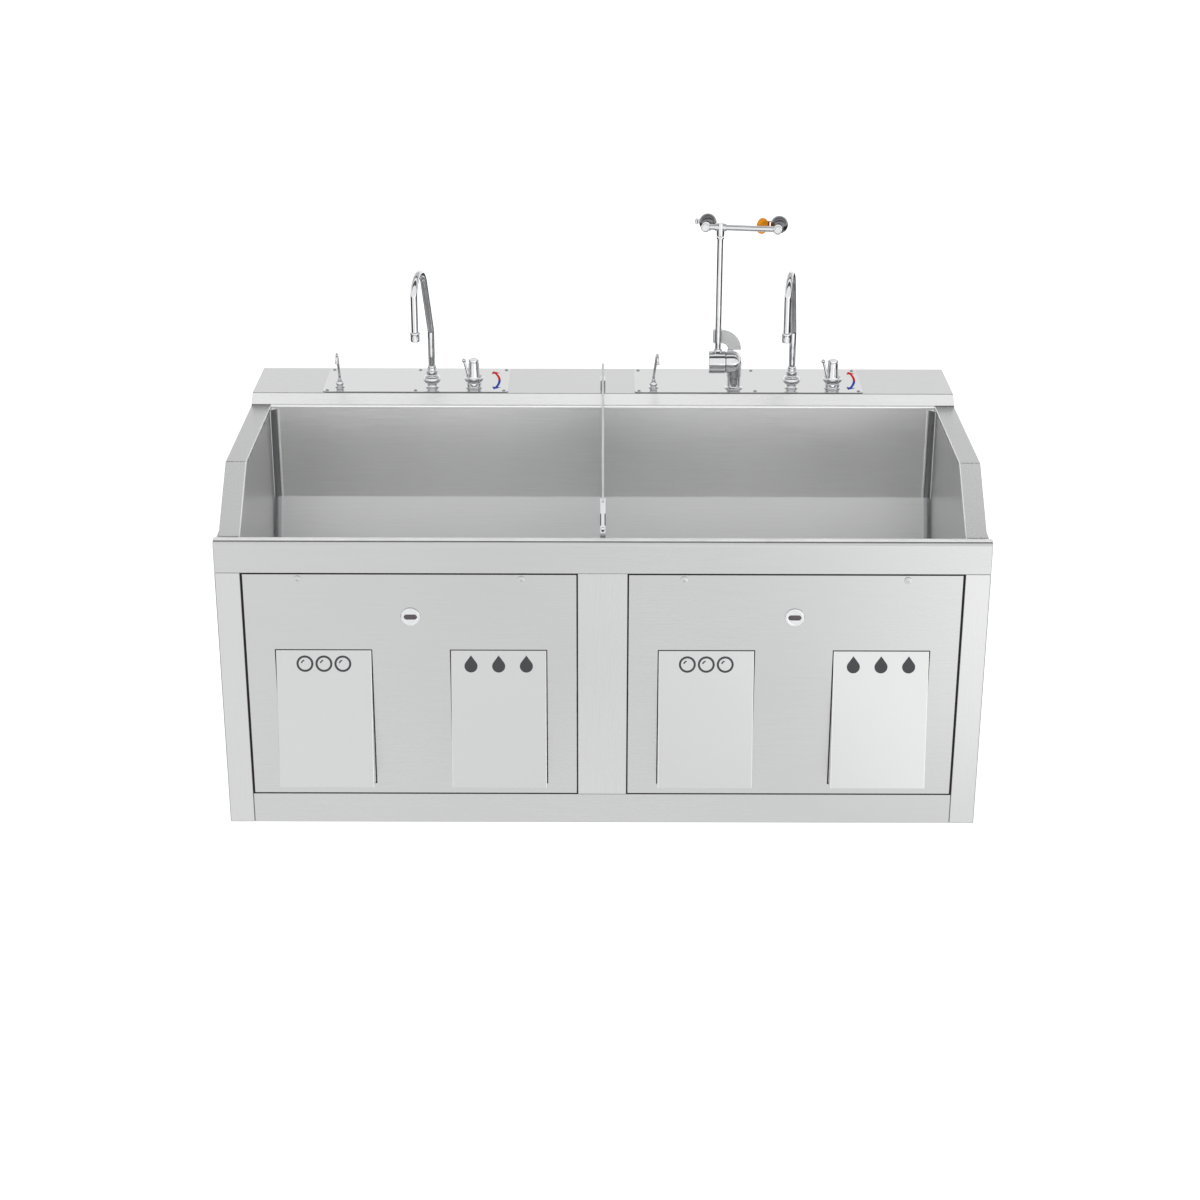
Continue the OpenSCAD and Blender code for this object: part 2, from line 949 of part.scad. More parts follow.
// One run along X, depth or height
module run_between(a, b, r) {
    if (a.x != b.x)
        tube_x(min(a.x, b.x), max(a.x, b.x), a.y, a.z, r);
    else if (a.y != b.y)
        tube_y(a.x, min(a.y, b.y), max(a.y, b.y), a.z, r);
    else
        tube_z(a.x, a.y, min(a.z, b.z), max(a.z, b.z), r);
}

module water_lines() {
    color([0.75, 0.76, 0.78])
        for (i = [0, 1]) {
            x = i == 0 ? -knee_x[0] : knee_x[1];
            line([
                [knob_x[i], fitting_d, mixer_foot_h], [knob_x[i], fitting_d, inlet_line_h],
                [x, fitting_d, inlet_line_h], [x, inlet_port_d, inlet_line_h],
                [x, inlet_port_d, valve_h - port_l]
            ], line_r);
            line([
                [x, outlet_port_d, valve_h - port_l], [x, outlet_port_d, outlet_line_h],
                [x, fitting_d, outlet_line_h], [faucet_x[i], fitting_d, outlet_line_h],
                [faucet_x[i], fitting_d, shank_foot_h]
            ], line_r);
        }
}

module soap_lines() {
    color([0.85, 0.86, 0.86])
        for (i = [0, 1]) {
            x = i == 0 ? -knee_x[1] : knee_x[0];
            line([
                [x, outlet_port_d, valve_h - port_l], [x, outlet_port_d, outlet_line_h],
                [x, fitting_d, outlet_line_h], [soap_x[i], fitting_d, outlet_line_h],
                [soap_x[i], fitting_d, shank_foot_h - bottle_l]
            ], line_r - 1);
        }
}

module soap_bottles() {
    color([0.86, 0.87, 0.86])
        for (x = soap_x) {
            tube_z(x, fitting_d, shank_foot_h - bottle_l, shank_foot_h - 30, bottle_r);
            tube_z(x, fitting_d, shank_foot_h - 30, shank_foot_h, bottle_r / 2);
        }
}

module supply_pipe(header_d, header_h, inlet_x, offset) {
    ends = [knob_x[0] + offset, knob_x[1] + offset];
    ports = [for (x = knob_x) x + sign(offset) * mixer_port_x];
    line([
        [ports[0], fitting_d, port_h], [ends[0], fitting_d, port_h],
        [ends[0], header_d, port_h], [ends[0], header_d, header_h],
        [ends[1], header_d, header_h], [ends[1], header_d, port_h],
        [ends[1], fitting_d, port_h], [ports[1], fitting_d, port_h]
    ], pipe_r);
    line([[inlet_x, header_d, header_h], [inlet_x, overall_d + stub_out, header_h]], pipe_r);
    tube_y(
        inlet_x, overall_d - sheet_t - escutcheon_t, overall_d - sheet_t, header_h,
        pipe_r + escutcheon_rim
    );
    tee_ball(inlet_x, header_d, header_h, 1);
}

// Tee on a header, with its branch towards the wall (1) or the front (-1)
module tee_ball(x, header_d, header_h, way) {
    $fn = 32;
    translate([x, at_d(header_d), at_h(header_h)])
        rotate([0, 0, -90 * way])
            sphere(r = tee_r);
}

module hot_supply_pipe() {
    color([0.75, 0.45, 0.30])
        supply_pipe(hot_header_d, hot_h, -inlet_x, -branch_x);
}

module cold_supply_pipe() {
    color([0.75, 0.45, 0.30]) {
        supply_pipe(cold_header_d, cold_h, inlet_x, branch_x);
        line([
            [eyewash_x, cold_header_d, cold_h], [eyewash_x, fitting_d, cold_h],
            [eyewash_x, fitting_d, shank_foot_h]
        ], pipe_r);
        tee_ball(eyewash_x, cold_header_d, cold_h, -1);
    }
}

module drain_strainer() {
    color(shade_chrome)
        difference() {
            union() {
                tube_z(0, drain_d, floor_h, floor_h + 2, strainer_r + 8);
                tube_z(0, drain_d, floor_h - cup_l, floor_h, strainer_r);
            }
            tube_z(0, drain_d, floor_h - cup_l + 3, floor_h - 2, strainer_r - 3);
            tube_z(0, drain_d, floor_h - cup_l - 1, floor_h - cup_l + 4, waste_r - 2);
            for (ring = [[0, 1], [13, 6], [26, 12]], k = [0 : ring[1] - 1])
                translate([0, at_d(drain_d), at_h(floor_h - 4)])
                    rotate([0, 0, 360 * k / ring[1]])
                        translate([ring[0], 0, 0])
                            cylinder(h = 10, r = 3.5);
        }
}

// Trap: down from the strainer, round a half turn, up and back to the wall
module drain_trap() {
    bend_d = drain_d + 2 * trap_bend_r;
    color(shade_chrome) {
        tube_z(0, drain_d, trap_h, floor_h - cup_l, waste_r);
        in_side_plane(bend_d - trap_bend_r, trap_h)
            rotate([0, 0, 180])
                rotate_extrude(angle = 180)
                    translate([trap_bend_r, 0])
                        circle(r = waste_r);
        tube_z(0, bend_d, trap_h, waste_h - elbow_r, waste_r);
        in_side_plane(bend_d + elbow_r, waste_h - elbow_r)
            rotate_extrude(angle = 90)
                translate([elbow_r, 0])
                    circle(r = waste_r);
        tube_y(0, bend_d + elbow_r, overall_d + stub_out, waste_h, waste_r);
        tube_z(0, drain_d, floor_h - cup_l - 24, floor_h - cup_l, waste_r + 5);
        tube_y(
            0, overall_d - sheet_t - escutcheon_t, overall_d - sheet_t, waste_h,
            waste_r + escutcheon_rim
        );
    }
}

// Plane with X forward along -Y and Y up, about a depth and a height
module in_side_plane(d, h) {
    translate([0, at_d(d), at_h(h)])
        rotate([90, 0, -90])
            children();
}

// Round shape turned about a fitting's upright axis, above the deck plate
module turned_on_deck(x) {
    translate([x, at_d(fitting_d), at_h(plate_h)])
        rotate_extrude()
            children();
}

// Shank through the deck with its nut below
module shank(x, r, nut_r) {
    tube_z(x, fitting_d, shank_foot_h, plate_h, r);
    translate([x, at_d(fitting_d), at_h(under_h - nut_t)])
        cylinder(h = nut_t, r = nut_r, $fn = 6);
}

module faucet_bases() {
    color(shade_chrome)
        for (x = faucet_x)
            difference() {
                union() {
                    shank(x, faucet_shank_r, 18);
                    turned_on_deck(x) {
                        square([11.5, 34]);
                        translate([0, 6])
                            square([10, neck_base_h - 6]);
                        translate([11, 19])
                            circle(r = 9);
                        translate([0, 30])
                            square([12.5, 10]);
                    }
                }
                tube_z(x, fitting_d, plate_h - 15, plate_h + neck_base_h + 1, neck_r + run_gap);
            }
}

// Swan neck in its own plane: up, over an arch and down. X runs forward and Y up
module swan_neck(foot, kink_h, reach, arch_h, arch_r, end_h, r) {
    c = [reach - arch_r, arch_h];
    kink = [0, kink_h];
    l = norm(c - kink);
    rise = atan2(c.y - kink.y, c.x - kink.x) + asin(arch_r / l);
    run = sqrt(l * l - arch_r * arch_r) + bend_overlap;
    rod([0, foot], kink, r);
    translate(kink)
        rotate([0, 0, 180])
            sphere(r = r + bend_step);
    rod(kink, kink + run * [cos(rise), sin(rise)], r);
    translate(c)
        rotate_extrude(angle = rise + 90)
            translate([arch_r, 0])
                circle(r = r + bend_step);
    rod([reach, arch_h + bend_overlap], [reach, end_h], r);
}

// Round rod between two points of a plane
module rod(p, q, r) {
    v = q - p;
    translate(p)
        rotate([0, 90, atan2(v.y, v.x)])
            cylinder(h = norm(v), r = r);
}

// Moving parts of a deck fitting, turned by a yaw about its upright axis
module on_pivot(x, yaw) {
    translate([x, at_d(fitting_d), at_h(plate_h)])
        rotate([0, 0, -yaw])
            rotate([90, 0, -90])
                children();
}

module gooseneck(x) {
    color(shade_chrome)
        on_pivot(x, neck_yaw) {
            swan_neck(
                -13, neck_kink_h, neck_reach, neck_arch_h, neck_arch_r,
                outlet_h + aerator_l, neck_r
            );
            rod([0, neck_base_h + clear_gap], [0, neck_base_h + 5], neck_r + 2);
        }
}

module left_gooseneck() {
    gooseneck(faucet_x[0]);
}

module right_gooseneck() {
    gooseneck(faucet_x[1]);
}

module aerator(x) {
    color(shade_chrome)
        on_pivot(x, neck_yaw)
            difference() {
                union() {
                    rod([neck_reach, outlet_h], [neck_reach, outlet_h + aerator_l], neck_r + 2.4);
                    rod(
                        [neck_reach, outlet_h + aerator_l - 4],
                        [neck_reach, outlet_h + aerator_l - 1],
                        neck_r + 3.2
                    );
                }
                rod([neck_reach, outlet_h - 1], [neck_reach, outlet_h + 9], neck_r);
            }
}

module left_aerator() {
    aerator(faucet_x[0]);
}

module right_aerator() {
    aerator(faucet_x[1]);
}

module mixing_valves() {
    color(shade_chrome)
        for (x = knob_x) {
            shank(x, valve_shank_r, 22);
            tube_z(x, fitting_d, plate_h, plate_h + bonnet_h, 16.5);
            tube_z(x, fitting_d, plate_h + bonnet_h, plate_h + bonnet_h + 20, spindle_r);
            tube_z(x, fitting_d, mixer_foot_h, under_h - nut_t - 4, 26);
            tube_x(x - mixer_port_x, x + mixer_port_x, fitting_d, port_h, pipe_r + 2.5);
        }
}

// Knob about its spindle: a flared skirt, a tapered body and a lever up one side
module temperature_knob(x) {
    color(shade_chrome)
        difference() {
            union() {
                turned_on_deck(x)
                    polygon([
                        [0, bonnet_h + clear_gap], [14, bonnet_h + clear_gap],
                        [19, bonnet_h + 2], [22.5, bonnet_h + 9], [21, bonnet_h + 10.5],
                        [17, bonnet_h + 6.5], [14, bonnet_h + 9], [10.5, knob_top_h - 2],
                        [8.5, knob_top_h], [0, knob_top_h]
                    ]);
                translate([x, at_d(fitting_d), at_h(plate_h)])
                    rotate([90, 0, 0]) {
                        rod([-11, bonnet_h + 12], lever_tip, 3);
                        translate(lever_tip)
                            sphere(r = 4.5);
                    }
            }
            tube_z(
                x, fitting_d, plate_h + bonnet_h - 1, plate_h + bonnet_h + 21, spindle_r + run_gap
            );
        }
}

module left_temperature_knob() {
    temperature_knob(knob_x[0]);
}

module right_temperature_knob() {
    temperature_knob(knob_x[1]);
}

module soap_bases() {
    color(shade_chrome)
        for (x = soap_x)
            difference() {
                union() {
                    shank(x, soap_shank_r, 11);
                    turned_on_deck(x) {
                        square([9.5, 2.5]);
                        square([5, soap_base_h]);
                        intersection() {
                            translate([0, 9])
                                circle(r = 9);
                            square([20, soap_base_h]);
                        }
                    }
                }
                tube_z(x, fitting_d, plate_h - 6, plate_h + soap_base_h + 1, soap_r + run_gap);
            }
}

module soap_spout(x) {
    color(shade_chrome)
        on_pivot(x, -4) {
            swan_neck(
                -4, soap_base_h + 8, soap_reach, soap_top_h - soap_r - soap_arch_r, soap_arch_r,
                soap_top_h - 22, soap_r
            );
            rod([0, soap_base_h + clear_gap], [0, soap_base_h + 3], soap_r + 1.5);
        }
}

module left_soap_spout() {
    soap_spout(soap_x[0]);
}

module right_soap_spout() {
    soap_spout(soap_x[1]);
}

// The eyewash's parts are drawn about its pivot: Z up, the wall towards +Y
module at_eyewash() {
    translate([0, at_d(fitting_d), at_h(plate_h + eyewash_h)])
        children();
}

module lying(x) {
    translate([x, 0, 0])
        rotate([0, 90, 0])
            children();
}

module eyewash_column() {
    elbow_l = eyewash_x + column_r - seam_x;
    round_r = elbow_round_r;
    color(shade_chrome) {
        shank(eyewash_x, column_shank_r, 22);
        tube_z(eyewash_x, fitting_d, plate_h, plate_h + 3, column_r + 5);
        tube_z(eyewash_x, fitting_d, plate_h, plate_h + eyewash_h, column_r);
        at_eyewash() {
            lying(seam_x) {
                cylinder(h = elbow_l - round_r, r = eyewash_r - 1);
                translate([0, 0, elbow_l - round_r])
                    rotate_extrude()
                        intersection() {
                            union() {
                                translate([eyewash_r - 1 - round_r, 0])
                                    circle(r = round_r);
                                square([eyewash_r - 1 - round_r, round_r]);
                            }
                            square(eyewash_r);
                        }
            }
            lying(spigot_x)
                cylinder(h = seam_x - spigot_x + 1, r = spigot_r);
            translate([seam_x + 4, tube_r + 1, 0])
                cube([14, rest_t, eyewash_r + 0.5]);
        }
    }
}

// Cradle that holds the stored riser: a quarter ring on the elbow, with a fork round the riser
module eyewash_rest() {
    ring_x = riser_x + tube_r + 2;
    back = tube_r + 1;
    color(shade_steel)
        at_eyewash() {
            translate([ring_x, back + rest_t, eyewash_r + 0.5])
                rotate([90, 0, 0])
                    linear_extrude(rest_t)
                        intersection() {
                            difference() {
                                circle(r = rest_r);
                                circle(r = rest_hole_r);
                            }
                            square(rest_r);
                        }
            for (side = [-1, 1])
                translate([riser_x + side * (tube_r + clear_gap + 2) - 2, -3, fork_h])
                    cube([4, back + 3 + rest_t / 2, fork_l]);
            translate([riser_x - tube_r - clear_gap - 4, back, fork_h])
                cube([2 * tube_r + 8 + 2 * clear_gap, rest_t, fork_l]);
        }
}

module eyewash_sleeve() {
    color(shade_chrome)
        difference() {
            at_eyewash() {
                lying(sleeve_x)
                    cylinder(h = seam_x - clear_gap - sleeve_x, r = eyewash_r);
                translate([riser_x, 0, eyewash_r - 3])
                    cylinder(h = 3 + boss_l, r = tube_r + 2.5);
            }
            at_eyewash()
                lying(spigot_x - 1)
                    cylinder(h = seam_x - spigot_x + 2, r = spigot_r + run_gap);
        }
}

module across_head() {
    translate([riser_x, 0, riser_l])
        rotate([0, 0, -cross_yaw])
            children();
}

module eyewash_arm() {
    color(shade_chrome)
        at_eyewash() {
            translate([riser_x, 0, eyewash_r + boss_l])
                cylinder(h = riser_l - eyewash_r - boss_l, r = tube_r);
            translate([riser_x, 0, riser_l - 26])
                cylinder(h = 36, r = tube_r + 2);
            translate([riser_x, -tube_r - 4, riser_l - 20])
                rotate([-90, 0, 0])
                    cylinder(h = 4, r = 2.2);
            across_head() {
                lying(head_mid - head_half)
                    cylinder(h = 2 * head_half, r = tube_r);
                lying(-13)
                    cylinder(h = 26, r = tube_r + 2);
                for (x = [head_mid - head_half, head_mid + head_half])
                    translate([x, -14, 0])
                        rotate([-90, 0, 0])
                            cylinder(h = 14 + head_neck_y, r = 10);
            }
        }
}

// Spray head behind the cross tube, with the lugs and pin of its dust cap
module spray_head(x) {
    at_eyewash()
        across_head()
            translate([x, 0, 0]) {
                difference() {
                    rotate([-90, 0, 0])
                        rotate_extrude() {
                            translate([0, head_neck_y])
                                square([7, 20]);
                            intersection() {
                                translate([0, head_y - 5])
                                    circle(r = head_r);
                                translate([0, head_y - 5 - head_r])
                                    square([head_r, head_r]);
                            }
                            translate([0, head_y - 5])
                                square([head_r, 5]);
                        }
                    translate([0, head_y - 3, 0])
                        rotate([-90, 0, 0])
                            cylinder(h = 4, r = head_r - 3);
                }
                for (z = [-6.5, 4.3])
                    translate([cap_hinge_x - 2.5, head_y - 3, z])
                        cube([2.5 - cap_hinge_x - head_r + 1.5, 4.5, 2.2]);
                translate([cap_hinge_x, head_y, -6.5])
                    cylinder(h = 13, r = cap_pin_r);
            }
}

module eyewash_heads() {
    color(shade_chrome)
        for (x = [head_mid - head_half, head_mid + head_half])
            spray_head(x);
}

// Dust cap on its pin, opened by a degrees from its seat on the spray head
module dust_cap(x, a) {
    color([0.96, 0.55, 0.10])
        at_eyewash()
            across_head()
                translate([x + cap_hinge_x, head_y, 0])
                    rotate([0, 0, a])
                        difference() {
                            union() {
                                translate([0, 0, -4])
                                    cylinder(h = 8, r = 3.2);
                                translate([0, clear_gap, -4])
                                    cube([12, 2.6, 8]);
                                translate([-cap_hinge_x, clear_gap, 0])
                                    rotate([-90, 0, 0]) {
                                        cylinder(h = 6, r = cap_r);
                                        translate([0, 0, 6])
                                            cylinder(h = 3, r1 = cap_r, r2 = cap_r - 4);
                                    }
                            }
                            translate([0, 0, -5])
                                cylinder(h = 10, r = cap_pin_r + run_gap);
                        }
}

module left_dust_cap() {
    dust_cap(head_mid - head_half, 0);
}

module right_dust_cap() {
    dust_cap(head_mid + head_half, cap_open);
}

module divider_pane() {
    gap = 4;
    color([0.85, 0.92, 0.92, 0.5])
        across(-pane_t / 2, pane_t / 2)
            polygon(in_section([
                [pane_front_d, pane_front_h], [fitting_d, pane_back_h], [fitting_d, deck_h + 2],
                [deck_front_d - 2, deck_h + 2], [basin_back_d - gap, shield_h + 1],
                [basin_back_d - gap, back_bend_h + 6], [basin_back_d - gap - 16, pane_foot_h],
                [pane_front_d + 30, pane_foot_h], [pane_front_d, pane_foot_h + 60]
            ]));
}

module divider_clips() {
    face_d = rim_d + sheet_t;
    color(shade_chrome) {
        difference() {
            block([-clip_w / 2, face_d, ledge_h - 32], [clip_w / 2, pane_front_d + 20, pane_front_h - 5]);
            block([-clip_w / 2 - 1, face_d + 3, ledge_h - 33], [clip_w / 2 + 1, pane_front_d + 21, rim_h]);
            block([-pane_t / 2, pane_front_d, rim_h - 1], [pane_t / 2, pane_front_d + 21, pane_front_h]);
        }
        translate([0, at_d(face_d), at_h(rim_h + 15)])
            rotate([90, 0, 0])
                intersection() {
                    cylinder(h = 2.5, r = 4);
                    translate([0, 0, -3])
                        sphere(r = 5.6);
                }
        difference() {
            block([-clip_w / 2, deck_front_d + 6, deck_h], [clip_w / 2, fitting_d, deck_h + 28]);
            block([-pane_t / 2, deck_front_d + 5, deck_h + 2], [pane_t / 2, fitting_d + 1, deck_h + 29]);
        }
    }
}

back_panel();
left_end_panel();
right_end_panel();
basin();
deck();
left_side_shield();
right_side_shield();
front_apron();
left_stile();
right_stile();
centre_stile();
bottom_rail();
left_deck_plate();
right_deck_plate();
deck_screws();
left_access_panel();
right_access_panel();
panel_screws();
sensor_bezels();
sensor_lenses();
sensor_housings();
divider_pane();
divider_clips();
drain_strainer();
drain_trap();
hot_supply_pipe();
cold_supply_pipe();
mixing_valves();
faucet_bases();
soap_bases();
soap_bottles();
eyewash_column();
eyewash_rest();
hinge_pins();
water_valves();
soap_pumps();
valve_rail();
water_lines();
soap_lines();
left_gooseneck();
right_gooseneck();
left_aerator();
right_aerator();
left_temperature_knob();
right_temperature_knob();
left_soap_spout();
right_soap_spout();
eyewash_sleeve();
eyewash_arm();
eyewash_heads();
left_dust_cap();
right_dust_cap();
left_soap_panel();
left_water_panel();
right_soap_panel();
right_water_panel();
left_soap_plunger();
left_water_plunger();
right_soap_plunger();
right_water_plunger();
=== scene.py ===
import math

import bmesh
import bpy
from mathutils import Matrix, Vector


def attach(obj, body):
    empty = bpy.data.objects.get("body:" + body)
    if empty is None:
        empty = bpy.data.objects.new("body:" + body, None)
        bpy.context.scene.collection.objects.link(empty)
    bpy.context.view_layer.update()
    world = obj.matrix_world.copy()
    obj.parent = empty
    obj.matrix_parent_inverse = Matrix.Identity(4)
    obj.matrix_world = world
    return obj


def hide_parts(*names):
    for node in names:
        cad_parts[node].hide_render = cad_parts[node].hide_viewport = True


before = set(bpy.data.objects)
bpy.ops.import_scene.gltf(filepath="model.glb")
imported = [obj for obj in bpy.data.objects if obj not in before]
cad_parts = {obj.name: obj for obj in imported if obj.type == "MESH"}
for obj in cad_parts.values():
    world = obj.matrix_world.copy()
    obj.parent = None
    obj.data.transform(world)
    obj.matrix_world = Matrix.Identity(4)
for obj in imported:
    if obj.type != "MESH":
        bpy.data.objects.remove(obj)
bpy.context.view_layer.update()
print("frame loaded")

# Millimetres across, behind the front face and above the underside, as the cabinet is made
cabinet = {
    "width": 1575, "depth": 790, "boltHeight": 400, "rimHeight": 640, "deckHeight": 762,
    "shieldHeight": 740.5, "ledgeHeight": 628, "sheet": 2, "shieldInset": 4, "basinWidth": 1480,
    "fittingDepth": 640, "plate": 1.6,
}
halfWidth = cabinet["width"] / 2
basinSide = cabinet["basinWidth"] / 2
shieldSide = halfWidth - cabinet["shieldInset"]
plateHeight = cabinet["deckHeight"] + cabinet["plate"]
mm = 0.001


def at(x, d, h):
    return Vector((x, d - cabinet["depth"], h - cabinet["boltHeight"])) * mm


def onLine(x, h):
    # on the line of the deck's fittings
    return at(x, cabinet["fittingDepth"], h)


# Camera where the photograph was taken from
view = {"place": (-0.0054, -5.0959, 1.8996), "down": 22.56, "roll": 0.132, "focal": 68.685,
        "sensor": 36, "far": 200}


def addCamera():
    data = bpy.data.cameras.new("camera")
    data.lens = view["focal"]
    data.sensor_width = view["sensor"]
    data.sensor_fit = "HORIZONTAL"
    data.clip_end = view["far"]
    camera = bpy.data.objects.new("camera", data)
    bpy.context.scene.collection.objects.link(camera)
    turn = Matrix.Rotation(math.radians(90 - view["down"]), 4, "X")
    roll = Matrix.Rotation(math.radians(view["roll"]), 4, "Z")
    camera.matrix_world = Matrix.Translation(view["place"]) @ turn @ roll
    bpy.context.scene.camera = camera


addCamera()


# Node trees
def plug(tree, node, sockets):
    # links a socket that is given, and sets any other value
    for key, value in sockets.items():
        if isinstance(value, bpy.types.NodeSocket):
            tree.links.new(value, node.inputs[key])
        else:
            node.inputs[key].default_value = value


def addNode(tree, kind, sockets=None, **settings):
    made = tree.nodes.new(kind)
    for key, value in settings.items():
        setattr(made, key, value)
    plug(tree, made, sockets or {})
    return made


def newMaterial(name):
    material = bpy.data.materials.new(name)
    material.use_nodes = True
    tree = material.node_tree
    tree.nodes.clear()
    shader = addNode(tree, "ShaderNodeBsdfPrincipled")
    addNode(tree, "ShaderNodeOutputMaterial", {"Surface": shader.outputs["BSDF"]})
    return material, tree, shader


def noise(tree, scale, detail=2.0, seed=0.0):
    # 3-D noise on object coordinates, drawn out where one of three scales is small
    where = addNode(tree, "ShaderNodeTexCoord")
    mapping = addNode(tree, "ShaderNodeMapping", {
        "Vector": where.outputs["Object"], "Location": [seed] * 3,
        "Scale": scale if isinstance(scale, (list, tuple)) else [scale] * 3,
    })
    grain = addNode(tree, "ShaderNodeTexNoise", {
        "Vector": mapping.outputs["Vector"], "Scale": 1.0, "Detail": detail, "Roughness": 0.55,
    })
    return grain.outputs["Fac"]


def spread(tree, value, low, high, fromLow=0.3, fromHigh=0.7):
    return addNode(tree, "ShaderNodeMapRange", {
        "Value": value, "From Min": fromLow, "From Max": fromHigh, "To Min": low, "To Max": high,
    }).outputs["Result"]


def mottled(tree, factor, tone, low, high=1.0):
    # between a darker and a lighter shade of one tone
    dark, light = [[min(1, c * share) for c in tone] for share in (low, high)]
    mix = addNode(tree, "ShaderNodeMix", {0: factor, 6: (*dark, 1), 7: (*light, 1)},
                  data_type="RGBA")
    return mix.outputs[2]


def arithmetic(tree, operation, a, b):
    return addNode(tree, "ShaderNodeMath", {0: a, 1: b}, operation=operation).outputs[0]


def bump(tree, height, strength, distance):
    return addNode(tree, "ShaderNodeBump", {
        "Height": height, "Strength": strength, "Distance": distance,
    }).outputs["Normal"]


# Sheet steel with a brushed grain along one axis: fine scratches, broad streaks, slow clouding
brushing = {"fine": 1900.0, "fineAlong": 16.0, "broad": 420.0, "broadAlong": 7.0, "cloud": 2.4,
            "fineShare": 0.6, "streakShare": 0.6, "streaks": (0.35, 0.65), "darker": 0.05,
            "lighter": 0.04, "smoother": 0.025, "rougher": 0.03, "cloudRough": (-0.02, 0.03),
            "relief": 0.05, "depth": 0.0002}


def brushedSteel(name, tone, along, rough, contrast=1.0):
    material, tree, shader = newMaterial(name)
    g = brushing
    fineScale, broadScale = [g["fine"]] * 3, [g["broad"]] * 3
    fineScale[along], broadScale[along] = g["fineAlong"], g["broadAlong"]
    fine = noise(tree, fineScale, detail=3.0)
    broad = noise(tree, broadScale, detail=2.0, seed=3.7)
    cloud = noise(tree, g["cloud"], detail=1.0, seed=9.1)
    streak = arithmetic(tree, "ADD", arithmetic(tree, "MULTIPLY", fine, g["fineShare"]),
                        arithmetic(tree, "MULTIPLY", broad, 1 - g["fineShare"]))
    grain = arithmetic(tree, "ADD", spread(tree, streak, 0, g["streakShare"], *g["streaks"]),
                       spread(tree, cloud, 0, 1 - g["streakShare"]))
    worn = arithmetic(
        tree, "ADD", spread(tree, streak, rough - g["smoother"] * contrast,
                            rough + g["rougher"] * contrast, *g["streaks"]),
        spread(tree, cloud, *g["cloudRough"]))
    plug(tree, shader, {
        "Metallic": 1.0, "Roughness": worn,
        "Base Color": mottled(tree, grain, tone, 1 - g["darker"] * contrast,
                              1 + g["lighter"] * contrast),
        "Normal": bump(tree, streak, g["relief"] * contrast, g["depth"]),
    })
    return material


# Polished plating: nearly a mirror, with the faint waviness of buffed castings
buffing = {"smear": (160.0, 160.0, 90.0), "rough": (0.7, 1.6), "dark": 0.95, "waves": 38.0,
           "depth": 0.002}


def plating(name, tone, rough, wave=0.25):
    material, tree, shader = newMaterial(name)
    g = buffing
    smear = noise(tree, g["smear"], detail=4.0, seed=5.2)
    waves = noise(tree, g["waves"], detail=1.0, seed=1.3)
    plug(tree, shader, {
        "Metallic": 1.0, "Roughness": spread(tree, smear, *[rough * share for share in g["rough"]]),
        "Base Color": mottled(tree, spread(tree, smear, 0, 1), tone, g["dark"]),
        "Normal": bump(tree, waves, wave, g["depth"]),
    })
    return material


# Moulded or painted surface: speckle in colour, roughness and height
moulding = {"cloud": 14.0, "smoother": 0.05, "rougher": 0.07, "dark": 0.9, "light": 1.06,
            "depth": 0.0002}


def moulded(name, tone, rough, speck=900.0, relief=0.1, coat=0.0, gloss=0.5, clear=0.0):
    material, tree, shader = newMaterial(name)
    g = moulding
    pit = noise(tree, speck, detail=3.0, seed=2.2)
    cloud = noise(tree, g["cloud"], detail=2.0, seed=6.4)
    plug(tree, shader, {
        "Roughness": spread(tree, pit, rough - g["smoother"], rough + g["rougher"]),
        "Base Color": mottled(tree, spread(tree, cloud, 0, 1), tone, g["dark"], g["light"]),
        "Normal": bump(tree, pit, relief, g["depth"]), "Coat Weight": coat,
        "Specular IOR Level": gloss, "Transmission Weight": clear,
    })
    return material


# Clear sheet with faint smears
clearing = {"smear": (9.0, 30.0, 12.0), "dark": 0.985, "rough": (0.01, 0.045), "index": 1.46}


def clearSheet(name, tone):
    material, tree, shader = newMaterial(name)
    g = clearing
    smear = noise(tree, g["smear"], detail=4.0, seed=4.4)
    plug(tree, shader, {
        "Base Color": mottled(tree, spread(tree, smear, 0, 1), tone, g["dark"]),
        "Roughness": spread(tree, smear, *g["rough"]), "Transmission Weight": 1.0,
        "IOR": g["index"],
    })
    return material


